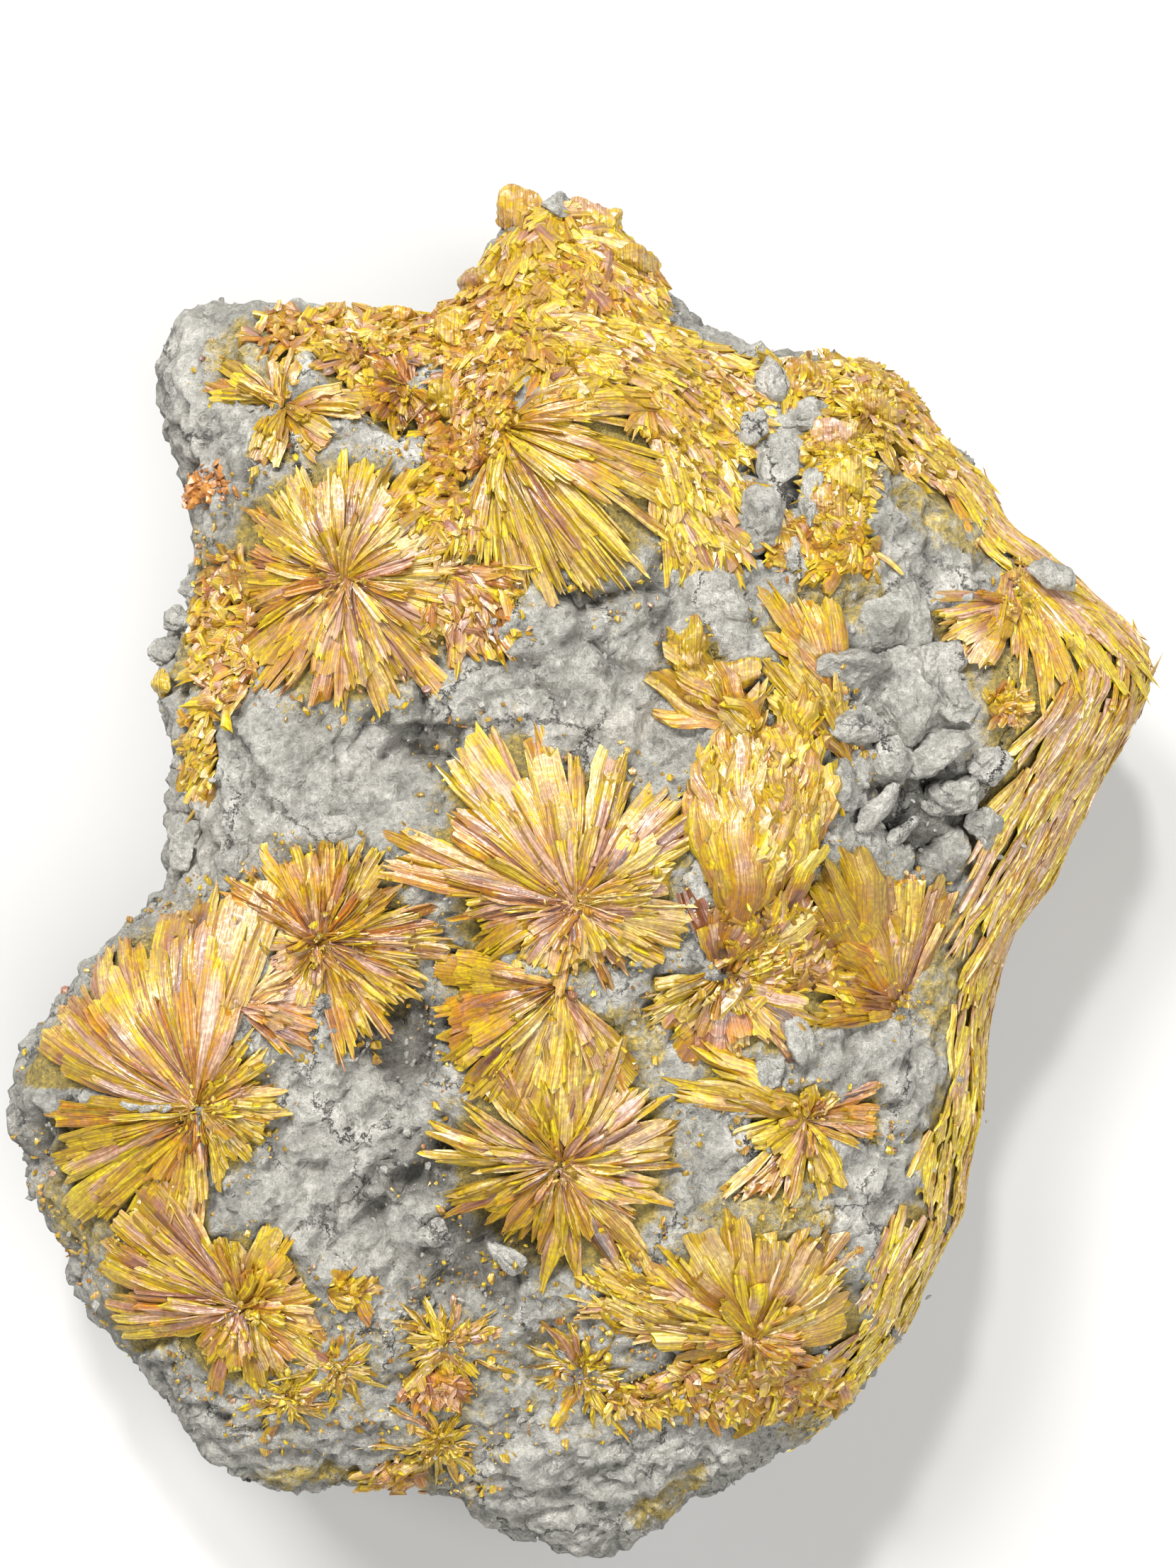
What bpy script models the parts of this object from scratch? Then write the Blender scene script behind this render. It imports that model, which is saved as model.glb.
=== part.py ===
"""Orpiment specimen: crystal sprays on a block of grey clayey matrix, lying on its back.

Metres, +Z up. The origin is the middle of the flat face it rests on, the display
face looks up (+Z), and the pointed peak of the stone is its +Y end.
Sizes below are in millimetres as they look from an eye above the display face.
"""

import math
import random
from typing import NamedTuple

import bmesh
import bpy
from mathutils import Matrix, Vector, noise

MM = 0.001

# The eye that the sizes were read from, above the plane of the silhouette
EYE_DISTANCE = 240.0
SILHOUETTE_HEIGHT = 20.0
EYE_TO_ORIGIN = Vector((0.9, 7.3))

# The block
FACE_HEIGHT = 35.0
COLUMNS = 72
FACE_RINGS = (0.12, 0.24, 0.36, 0.47, 0.58, 0.68, 0.78, 0.87, 0.94, 0.98)
WALL_RINGS = (1.0, 1.16, 1.34, 1.52, 1.7, 1.87, 2.0)
BLOCK_MIDDLE = Vector((-2.0, -5.0))
LUMP_SIZE = 9.0
WALL_LUMPS = 1.3
FACE_LUMPS = 0.5

# Crystals sit this far into the block before the clearance is cut, and each next fan of one node is deeper
SEAT = 2.6
DEEPER = 0.15
CLEARANCE = 0.38

# Rings of points along a blade: share of its length, then share of the spray's thickness
SHORT_FAN_RINGS = {0.34: 0.9, 0.7: 1.0, 1.0: 0.65}
LONG_FAN_RINGS = {0.3: 0.85, 0.6: 1.0, 0.84: 0.95, 1.0: 0.7}
LONG_REACH = 11.0

# Shares of a spray's reach and thickness: its ridges, the valleys between them, and its middle
RIDGE_REACH = (0.86, 1.0)
VALLEY_REACH = (0.66, 0.76)
VALLEY_HEIGHT = 0.62
MIDDLE_HEIGHT = 0.6

# A blade is shortened in these steps until it ends inside the rim
INSIDE_RIM = 0.98
SHORTENING = 0.96

# Rough balls: how uneven they are and how large the bumps
CRUMB_UNEVENNESS = 0.22
CRUMB_BUMPS = 1.4

# A crust is thinner where it starts, and its slope is read over this small step of bearing and of v
CRUST_START = 0.5
SLOPE_STEP = 0.01
WELD = 1e-7

# Silhouette of the block, clockwise from the tip of the peak
SILHOUETTE = (
    (-4.8, 47.2), (-1.6, 46.8), (1.2, 46.2), (3.4, 42.4), (5.2, 39.8), (8.2, 37.4),
    (11.2, 34.5), (15.5, 34.6), (19.5, 33.6), (23.6, 33.2), (26.2, 30.2), (30.2, 25.6),
    (32.4, 22.8), (33.4, 19.2), (34.6, 18.2), (37.8, 17.6), (39.6, 15.6), (42.5, 12.8),
    (44.2, 10.4), (44.4, 6.6), (41.8, 2.0), (38.8, -3.4), (36.0, -8.8), (33.6, -12.4),
    (31.8, -17.4), (31.2, -22.4), (31.4, -26.4), (29.8, -30.4), (29.2, -35.0), (26.8, -39.2),
    (25.8, -42.6), (22.4, -46.6), (19.6, -50.2), (15.4, -52.4), (11.6, -55.6), (8.2, -56.6),
    (6.0, -57.6), (4.4, -60.6), (1.4, -62.2), (-2.4, -60.6), (-6.6, -59.2), (-9.4, -56.6),
    (-13.6, -55.6), (-20.0, -55.8), (-27.6, -55.8), (-30.8, -52.8), (-35.0, -46.8),
    (-38.8, -42.6), (-39.6, -39.4), (-43.6, -33.6), (-45.4, -28.4), (-45.4, -22.6),
    (-42.6, -17.2), (-38.0, -13.6), (-36.2, -10.4), (-32.8, -7.4), (-33.8, -3.4),
    (-32.6, 1.0), (-33.6, 6.4), (-33.4, 10.6), (-31.2, 13.8), (-31.5, 18.0), (-31.0, 22.6),
    (-33.2, 27.4), (-34.8, 33.0), (-33.0, 36.8), (-29.8, 38.0), (-22.0, 37.6), (-16.0, 37.4),
    (-12.2, 36.2), (-9.8, 37.2), (-9.2, 40.0), (-7.6, 42.4), (-6.4, 44.6),
)  # fmt: skip


class Edge(NamedTuple):
    """How the block's rim looks in one direction from its middle."""

    bearing: float
    rim: float
    crispness: float
    foot: float


# bearing from +X in degrees, height of the rim, crispness of its shoulder, share left at the foot
EDGES = (
    Edge(0, 20, 2.6, 0.66),
    Edge(20, 22, 2.6, 0.60),
    Edge(42, 21, 3.0, 0.64),
    Edge(60, 23, 4.0, 0.66),
    Edge(78, 25, 4.0, 0.62),
    Edge(95, 27, 3.6, 0.56),
    Edge(115, 26, 5.0, 0.66),
    Edge(133, 24, 3.6, 0.62),
    Edge(160, 24, 5.0, 0.68),
    Edge(180, 24, 5.0, 0.70),
    Edge(200, 28, 5.0, 0.60),
    Edge(222, 25, 4.6, 0.64),
    Edge(248, 22, 4.0, 0.68),
    Edge(272, 19, 3.0, 0.62),
    Edge(295, 21, 3.4, 0.66),
    Edge(315, 22, 3.2, 0.68),
    Edge(340, 20, 3.0, 0.68),
)


class Rise(NamedTuple):
    """A soft hill, or a hollow if it is negative, on the display face."""

    x: float
    y: float
    radius: float
    height: float


RELIEF = (
    Rise(-31, 31, 6, -2.5),  # knob at the upper left
    Rise(-20, 16, 10, 2.8),  # pad of the upper left rosette
    Rise(0, 27, 12, 6.0),  # pad of the peak's fan
    Rise(0, 43, 7, -4.0),  # the peak leans back
    Rise(-12.3, 28, 3, -6.0),  # cleft between knob and peak
    Rise(-12, 38, 6, -4.5),
    Rise(14.5, 25, 4, -3.5),  # cleft right of the fan
    Rise(21, 27, 5, 2.5),
    Rise(-1, 11, 6, 1.6),  # lumps of the bare clay band
    Rise(-24, 0, 7, 2.6),
    Rise(-16, 1, 4, -2.6),
    Rise(6.5, 4.4, 3.5, -3.5),
    Rise(10, 9, 4, 2.5),
    Rise(19, 10, 5, 3.5),
    Rise(24.5, 9, 4.5, -3.5),  # broken hollow on the right
    Rise(25.5, -2, 3.5, -4.5),
    Rise(36, 9, 7, 3.5),  # the right corner
    Rise(-1, -8, 11, 3.6),  # pad of the central rosettes
    Rise(14, -5, 7, 5.0),  # crest of standing blades
    Rise(-13.2, -16, 3.6, -6.5),  # dark hollow left of the globe
    Rise(-6, -21, 6, 2.6),
    Rise(-2, -30, 9, 1.8),
    Rise(6, -22, 4, -2.4),
    Rise(-9, -37, 7, -3.2),
    Rise(-33, -20, 11, 3.6),  # pad of the left fan
    Rise(-19, -29, 7, -1.2),
    Rise(14, -42, 9, 4.2),  # pad of the lower right fan
    Rise(-29, -42, 7, 1.4),
    Rise(0, -56, 12, -3.6),  # the face falls away to the lower tip
)


class Spray(NamedTuple):
    """Blades that spread from one point, between two bearings, over the face.

    Two sprays of one node overlap by a few degrees, so that they join in one solid.
    """

    x: float
    y: float
    reach: float
    first: float
    last: float
    blades: int
    thickness: float


SPRAYS = {
    "knob_star": (Spray(-24.3, 30.6, 5.0, 0, 360, 9, 1.6),),
    "upper_left_rosette": (Spray(-19.8, 15.8, 9.8, 0, 360, 11, 2.4),),
    "peak_fan": (
        Spray(-7.0, 29.5, 17.5, -97, 18, 9, 3.0),
        Spray(-1.5, 37.5, 9.5, 0, 360, 9, 2.2),
    ),
    "left_fan": (
        Spray(-31.0, -25.4, 14.6, 62, 248, 12, 2.6),
        Spray(-30.6, -25.2, 6.4, 238, 432, 6, 2.1),
        Spray(-21.5, -12.8, 7.2, 0, 360, 8, 2.4),
    ),
    "central_rosettes": (
        Spray(-1.2, -9.6, 12.6, 96, 196, 8, 2.8),
        Spray(-0.9, -9.4, 8.0, -118, 106, 8, 2.3),
        Spray(-2.0, -16.2, 10.0, 165, 318, 8, 2.8),
        Spray(-2.0, -30.0, 10.0, 0, 360, 11, 2.2),
    ),
    "crest_fans": (
        Spray(10.8, -15.2, 15.0, 46, 92, 6, 3.4),
        Spray(10.5, -15.0, 7.0, 190, 412, 6, 2.1),
        Spray(24.4, -17.8, 11.0, 66, 186, 7, 2.6),
    ),
    "right_star": (Spray(17.4, -26.6, 7.4, 0, 360, 9, 2.0),),
    "lower_right_fan": (
        Spray(13.2, -44.0, 9.6, 0, 180, 9, 2.8),
        Spray(13.0, -43.8, 5.6, 172, 368, 6, 1.9),
    ),
    "pink_wing_rosette": (
        Spray(-27.6, -41.8, 9.6, 128, 215, 5, 2.0),
        Spray(-27.3, -41.7, 4.6, 206, 498, 7, 1.9),
    ),
    "twin_rosettes": (
        Spray(-24.2, -48.8, 3.6, 0, 360, 8, 1.6),
        Spray(-20.4, -47.2, 3.4, 0, 360, 8, 1.6),
    ),
    "middle_rosette": (Spray(-11.0, -44.6, 4.4, 0, 360, 9, 1.7),),
    "lower_rosette": (Spray(-11.6, -52.2, 3.4, 0, 360, 9, 1.5),),
    "right_small_rosette": (Spray(-0.6, -46.8, 4.2, 0, 360, 9, 1.7),),
    "band_blades": (Spray(12.6, 4.8, 7.4, 112, 168, 5, 2.6),),
    "shoulder_fan": (Spray(21.0, 3.4, 12.6, 94, 144, 6, 2.6),),
    "ledge_feathers": (Spray(34.0, 13.0, 6.6, 186, 262, 5, 1.8),),
    "top_right_crest": (Spray(20.6, 30.2, 4.6, 0, 360, 8, 2.4),),
}


class Lump(NamedTuple):
    """A rounded grain or crumb that sits on the face."""

    x: float
    y: float
    size: tuple
    turn: float
    sunk: float
    seed: int


LUMPS = {
    "bright_clump": Lump(19.8, 23.6, (2.6, 2.2, 2.0), 20, 0.6, 3),
    "realgar_specks": Lump(-29.4, 23.6, (1.7, 1.0, 1.0), 15, 0.3, 5),
    "pebble": Lump(-19.8, -3.4, (1.6, 1.2, 1.2), 10, 0.2, 7),
    "edge_nodule": Lump(-33.2, 8.0, (1.4, 1.2, 1.2), 0, -0.2, 9),
    "corner_lump": Lump(36.6, 16.4, (2.2, 1.4, 1.8), -20, -0.4, 11),
    "left_streak": Lump(-29.6, 2.6, (3.6, 0.9, 1.0), 55, 0.2, 13),
    "clay_rod_long": Lump(22.6, -2.2, (3.4, 0.9, 1.1), 47, -1.5, 17),
    "clay_rod_short": Lump(24.4, -4.2, (2.2, 0.7, 0.9), 42, -1.1, 19),
}


class Crust(NamedTuple):
    """A fibrous skin that runs over the rim: bearings, then from face (1 is the rim) to wall."""

    first: float
    last: float
    inner: float
    outer: float
    thickness: float


CRUSTS = {
    "right_crust": Crust(-13, 22, 0.86, 1.35, 1.3),
    "lower_right_crust": Crust(-54, -19, 0.9, 1.35, 1.2),
}

# Colours, and how dull the rock is beside the crystals
YELLOW = (0.83, 0.62, 0.07, 1.0)
GOLD = (0.85, 0.47, 0.06, 1.0)
ROSE = (0.62, 0.30, 0.20, 1.0)
GREY = (0.36, 0.36, 0.35, 1.0)
ORANGE = (0.80, 0.24, 0.03, 1.0)
ROCK_ROUGHNESS = 0.9
CRYSTAL_ROUGHNESS = 0.4
CLAY_LUMPS = ("pebble", "corner_lump", "clay_rod_long", "clay_rod_short")
ROSE_SPRAYS = ("pink_wing_rosette", "left_fan", "central_rosettes")
GOLD_SPRAYS = ("crest_fans", "band_blades", "lower_right_fan")


def smooth_loop(points, steps):
    """Catmull-Rom curve through a closed loop of points."""
    found = []
    for i, start in enumerate(points):
        before, end, after = points[i - 1], points[(i + 1) % len(points)], points[(i + 2) % len(points)]
        for step in range(steps):
            t = step / steps
            found.append(
                0.5 * (
                    2 * start
                    + (end - before) * t
                    + (2 * before - 5 * start + 4 * end - after) * t**2
                    + (3 * start - before - 3 * end + after) * t**3
                )
            )  # fmt: skip
    return found


OUTLINE = smooth_loop([Vector(p) for p in SILHOUETTE], 3)


def outline_reach(bearing):
    """Distance from the block's middle to the silhouette, along a bearing in radians."""
    way = Vector((math.cos(bearing), math.sin(bearing)))
    reach = 0.0
    for a, b in zip(OUTLINE, OUTLINE[1:] + OUTLINE[:1]):
        side = b - a
        across = way.x * side.y - way.y * side.x
        if not across:
            continue
        to_a = a - BLOCK_MIDDLE
        along = (to_a.x * side.y - to_a.y * side.x) / across
        share = (to_a.x * way.y - to_a.y * way.x) / across
        if along > 0 and 0 <= share <= 1:
            reach = max(reach, along)
    return reach


def outline_share(x, y):
    """How far out a point lies: 0 in the block's middle, 1 on the silhouette."""
    out = Vector((x, y)) - BLOCK_MIDDLE
    return out.length / outline_reach(math.atan2(out.y, out.x))


def edge_at(bearing):
    """The rim's height, crispness and foot at a bearing in radians, eased between EDGES."""
    degrees = math.degrees(bearing) % 360
    for a, b in zip(EDGES, EDGES[1:] + EDGES[:1]):
        span = (b.bearing - a.bearing) % 360
        into = (degrees - a.bearing) % 360
        if into < span:
            t = into / span
            t = t * t * (3 - 2 * t)
            return [a[k] + (b[k] - a[k]) * t for k in (1, 2, 3)]
    return list(EDGES[0][1:])


def lumps(x, y, z):
    return noise.fractal(Vector((x, y, z)) / LUMP_SIZE, 1.0, 2.0, 3)


def relief(x, y):
    """Height of the display face before it rounds off to the rim."""
    height = FACE_HEIGHT + FACE_LUMPS * lumps(x, y, 0)
    for rise in RELIEF:
        away = ((x - rise.x) ** 2 + (y - rise.y) ** 2) / rise.radius**2
        height += rise.height * math.exp(-away)
    return height


def face_height(x, y):
    """Height of the display face, its rounded shoulder included."""
    rim, crispness, _ = edge_at(math.atan2(y - BLOCK_MIDDLE.y, x - BLOCK_MIDDLE.x))
    share = min(1.0, outline_share(x, y))
    return rim + (relief(x, y) - rim) * math.sqrt(1 - share**crispness)


def skin_point(bearing, v):
    """A point of the block's skin: v runs 0 to 1 over the face and 1 to 2 down the wall to the foot."""
    reach = outline_reach(bearing)
    rim, _, foot = edge_at(bearing)
    way = Vector((math.cos(bearing), math.sin(bearing)))
    if v <= 1:
        x, y = BLOCK_MIDDLE + way * reach * v
        return Vector((x, y, face_height(x, y)))
    turn = (v - 1) * math.pi / 2
    share = 1 - (1 - foot) * (1 - math.cos(turn))
    z = rim * (1 - math.sin(turn))
    x, y = BLOCK_MIDDLE + way * reach * share
    push = WALL_LUMPS * lumps(x, y, z) * math.sin(2 * turn)
    return Vector((x + way.x * push, y + way.y * push, z))


def seen_from_eye(point):
    """A point moved sideways so that the eye sees it where its x and y say, in the part's frame."""
    closer = (EYE_DISTANCE + SILHOUETTE_HEIGHT - point.z) / EYE_DISTANCE
    x, y = Vector((point.x, point.y)) * closer + EYE_TO_ORIGIN
    return Vector((x, y, point.z)) * MM


def add_object(name, build, colour):
    """An object from a bmesh that build() fills, with its own plain material."""
    mesh = bpy.data.meshes.new(name)
    work = bmesh.new()
    build(work)
    bmesh.ops.recalc_face_normals(work, faces=work.faces)
    work.to_mesh(mesh)
    work.free()
    made = bpy.data.objects.new(name, mesh)
    bpy.context.scene.collection.objects.link(made)
    material = bpy.data.materials.new(name)
    material.use_nodes = True
    shader = material.node_tree.nodes["Principled BSDF"]
    shader.inputs["Base Color"].default_value = colour
    shader.inputs["Roughness"].default_value = ROCK_ROUGHNESS if colour == GREY else CRYSTAL_ROUGHNESS
    mesh.materials.append(material)
    return made


def helper(made):
    """Keeps an object out of the part: it only cuts or joins another."""
    made.hide_render = True
    made.display_type = "WIRE"
    return made


def boolean(target, operation, other):
    modifier = target.modifiers.new(f"{operation.lower()}_{other.name}", "BOOLEAN")
    modifier.operation = operation
    modifier.object = other
    modifier.solver = "EXACT"


def skin_grid(work, rings, columns, closed):
    """Quads between rows of points; closed joins the last column to the first."""
    rows = [[work.verts.new(p) for p in ring] for ring in rings]
    for low, high in zip(rows, rows[1:]):
        for i in range(columns if closed else columns - 1):
            j = (i + 1) % columns
            work.faces.new((low[i], low[j], high[j], high[i]))
    return rows


def block(name, clearance):
    """The matrix block, or the same grown by a clearance, to cut the crystals' seats with."""
    bearings = [2 * math.pi * i / COLUMNS for i in range(COLUMNS)]

    def build(work):
        rings = [[seen_from_eye(skin_point(b, v)) for b in bearings] for v in FACE_RINGS + WALL_RINGS]
        rows = skin_grid(work, rings, COLUMNS, closed=True)
        top = work.verts.new(seen_from_eye(skin_point(0, 0)))
        for i in range(COLUMNS):
            work.faces.new((top, rows[0][i], rows[0][(i + 1) % COLUMNS]))
        work.faces.new(rows[-1])
        if clearance:
            bmesh.ops.recalc_face_normals(work, faces=work.faces)
            work.normal_update()
            for vert, normal in [(v, v.normal.copy()) for v in work.verts]:
                vert.co += normal * clearance * MM

    return add_object(name, build, GREY)


def fan(name, spray, colour, depth=SEAT):
    """A star or part of one: a ridge along each blade, a valley between, and one flat underside."""
    whole = spray.last - spray.first >= 360
    rays = 2 * spray.blades + (0 if whole else 1)
    step = math.radians(spray.last - spray.first) / (2 * spray.blades)
    uneven = random.Random(name)
    lengths = []
    for ray in range(rays):
        length = spray.reach * uneven.uniform(*(RIDGE_REACH if ray % 2 else VALLEY_REACH))
        bearing = math.radians(spray.first) + step * ray
        way = Vector((math.cos(bearing), math.sin(bearing)))
        while outline_share(spray.x + way.x * length, spray.y + way.y * length) > INSIDE_RIM:
            length *= SHORTENING
        lengths.append(length)

    def layer(share, rise):
        """One ring of points, at a share of each blade's length."""
        ring = []
        for ray in range(rays):
            bearing = math.radians(spray.first) + step * ray
            x = spray.x + math.cos(bearing) * lengths[ray] * share
            y = spray.y + math.sin(bearing) * lengths[ray] * share
            high = rise if rise < 0 or ray % 2 else rise * VALLEY_HEIGHT
            ring.append(seen_from_eye(Vector((x, y, face_height(x, y) + high))))
        return ring

    def build(work):
        shares = LONG_FAN_RINGS if spray.reach > LONG_REACH else SHORT_FAN_RINGS
        rings = [layer(share, spray.thickness * rise) for share, rise in shares.items()]
        rings += [layer(share, -depth) for share in reversed(shares)]
        rows = skin_grid(work, rings, rays, closed=whole)
        middle = Vector((spray.x, spray.y, face_height(spray.x, spray.y)))
        top = work.verts.new(seen_from_eye(middle + Vector((0, 0, spray.thickness * MIDDLE_HEIGHT))))
        base = work.verts.new(seen_from_eye(middle - Vector((0, 0, depth))))
        for i in range(rays if whole else rays - 1):
            j = (i + 1) % rays
            work.faces.new((top, rows[0][i], rows[0][j]))
            work.faces.new((base, rows[-1][j], rows[-1][i]))
        if not whole:
            for i in (0, rays - 1):
                side = [row[i] for row in rows]
                work.faces.new((top, side[0], side[-1], base))
                for k in range(len(shares) - 1):
                    work.faces.new((side[k], side[k + 1], side[-k - 2], side[-k - 1]))

    return add_object(name, build, colour)


def spray_node(name, sprays, clearance_block):
    """One crystal group: its fans joined in one solid, with the block's shape cut from below."""
    colour = ROSE if name in ROSE_SPRAYS else GOLD if name in GOLD_SPRAYS else YELLOW
    first = fan(name, sprays[0], colour)
    for i, spray in enumerate(sprays[1:], 2):
        depth = SEAT + DEEPER * i
        boolean(first, "UNION", helper(fan(f"{name}_fan_{i}", spray, colour, depth)))
    boolean(first, "DIFFERENCE", clearance_block)


def lump_node(name, lump, clearance_block):
    """A crumb: a rough ball, squashed, turned, and seated on the face."""
    colour = GREY if name in CLAY_LUMPS else ORANGE if name == "realgar_specks" else YELLOW

    def build(work):
        bmesh.ops.create_icosphere(work, subdivisions=2, radius=1.0)
        centre = Vector((lump.x, lump.y, face_height(lump.x, lump.y) - lump.sunk))
        turn = Matrix.Rotation(math.radians(lump.turn), 3, "Z")
        for vert in work.verts:
            bump = noise.noise(vert.co * CRUMB_BUMPS + Vector((lump.seed, 0, 0)))
            shape = Vector((c * s for c, s in zip(vert.co, lump.size))) * (1 + CRUMB_UNEVENNESS * bump)
            vert.co = seen_from_eye(centre + turn @ shape)

    boolean(add_object(name, build, colour), "DIFFERENCE", clearance_block)


def crust_node(name, crust, clearance_block):
    """A skin of fibres over the rim, on the block's own columns and rings: an outer and an inner surface."""
    first, last = (round(bearing * COLUMNS / 360) for bearing in (crust.first, crust.last))
    columns = last - first + 1
    across = [v for v in FACE_RINGS + WALL_RINGS if crust.inner <= v <= crust.outer]

    def layer(lift, v):
        ring = []
        for column in range(first, last + 1):
            bearing = 2 * math.pi * column / COLUMNS
            here = skin_point(bearing, v)
            along = skin_point(bearing + SLOPE_STEP, v) - skin_point(bearing - SLOPE_STEP, v)
            down = skin_point(bearing, v + SLOPE_STEP) - skin_point(bearing, v - SLOPE_STEP)
            ring.append(seen_from_eye(here + down.cross(along).normalized() * lift))
        return ring

    def build(work):
        rings = [layer(crust.thickness * (CRUST_START if v == across[0] else 1.0), v) for v in across]
        rings += [layer(-SEAT, v) for v in reversed(across)]
        rows = skin_grid(work, rings + [rings[0]], columns, closed=False)
        for i in (0, columns - 1):
            work.faces.new([row[i] for row in rows[:-1]])
        bmesh.ops.remove_doubles(work, verts=work.verts, dist=WELD)

    boolean(add_object(name, build, YELLOW), "DIFFERENCE", clearance_block)


def main():
    for old in list(bpy.data.objects):
        bpy.data.objects.remove(old)
    block("matrix", 0)
    clearance_block = helper(block("seat_cutter", CLEARANCE))
    for name, sprays in SPRAYS.items():
        spray_node(name, sprays, clearance_block)
    for name, lump in LUMPS.items():
        lump_node(name, lump, clearance_block)
    for name, crust in CRUSTS.items():
        crust_node(name, crust, clearance_block)


main()
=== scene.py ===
# %% [markdown]
# # Orpiment on grey matrix
#
# Orpiment is an arsenic sulphide. It grows in flat, flexible blades with a pearly shine,
# and on this stone the blades spread from points into fans and rosettes. They sit in a soft
# grey clayey rock, the matrix. This lesson sculpts the rock from the imported block, grows
# thousands of separate closed blades over it, and gives each a procedural material.
#
# The imported model comes first. It is the fixed frame: metres, +Z up, the stone lies on its
# back with its display face up.

import math
from typing import NamedTuple

import bmesh
import bpy
import numpy as np
from mathutils import Matrix, Vector, noise
from mathutils.bvhtree import BVHTree


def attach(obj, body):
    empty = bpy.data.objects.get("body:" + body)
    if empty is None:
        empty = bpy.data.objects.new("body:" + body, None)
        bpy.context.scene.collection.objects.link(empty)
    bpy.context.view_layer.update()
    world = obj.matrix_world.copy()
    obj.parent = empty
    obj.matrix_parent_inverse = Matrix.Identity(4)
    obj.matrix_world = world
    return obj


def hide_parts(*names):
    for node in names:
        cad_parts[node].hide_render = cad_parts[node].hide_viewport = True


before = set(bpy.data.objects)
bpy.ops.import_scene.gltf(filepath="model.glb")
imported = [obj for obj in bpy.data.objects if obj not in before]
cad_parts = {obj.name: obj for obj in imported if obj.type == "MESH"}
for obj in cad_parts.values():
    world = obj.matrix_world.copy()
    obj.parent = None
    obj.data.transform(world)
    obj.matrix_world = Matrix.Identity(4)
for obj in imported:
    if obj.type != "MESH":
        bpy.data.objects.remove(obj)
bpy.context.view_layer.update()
MM = 0.001

# %% [markdown]
# ## Where things are
#
# All the places below are millimetres as they are seen from straight above the stone, from
# the eye that the picture was taken from. The numbers are true on a plane 20 mm above the
# table. What lies higher is nearer to the eye and looks larger, so a place is found by
# following the line of sight down to the rock.

# %% The eye and the line of sight
EYE = Vector((0.9, 7.3, 260.0))
TRUE_PLANE = 20.0
EYE_DISTANCE = EYE.z - TRUE_PLANE


def sight(x, y):
    """Direction from the eye through a seen place."""
    return Vector((x, y, -EYE_DISTANCE)).normalized()


def as_seen(points):
    """Seen x and y of points in the part's millimetres."""
    closer = (EYE.z - points[:, 2:3]) / EYE_DISTANCE
    return (points[:, :2] - np.array(EYE.xy)) / closer


# %% [markdown]
# ## The crystal groups
#
# Each fan is one burst of blades: where its blades meet, the bearings it fills (degrees from
# the right, turning left), where its blades start and end, and how they look. A group that
# grew together is one piece, so several fans share a piece's name. A rosette is a fan that
# goes all the way round. `rose` is the share of pinkish blades, and `warm` runs from lemon
# yellow at 0 to orange at 1.


# %% What a fan is
class Fan(NamedTuple):
    """Blades that spread from one point."""

    x: float
    y: float
    first: float
    last: float
    reach: float
    width: float
    habit: str
    rose: float
    warm: float


def burst(centre, *sectors):
    """Fans that spread from one centre, one for each sector of the circle."""
    return [Fan(*centre, *sector) for sector in sectors]


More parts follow.
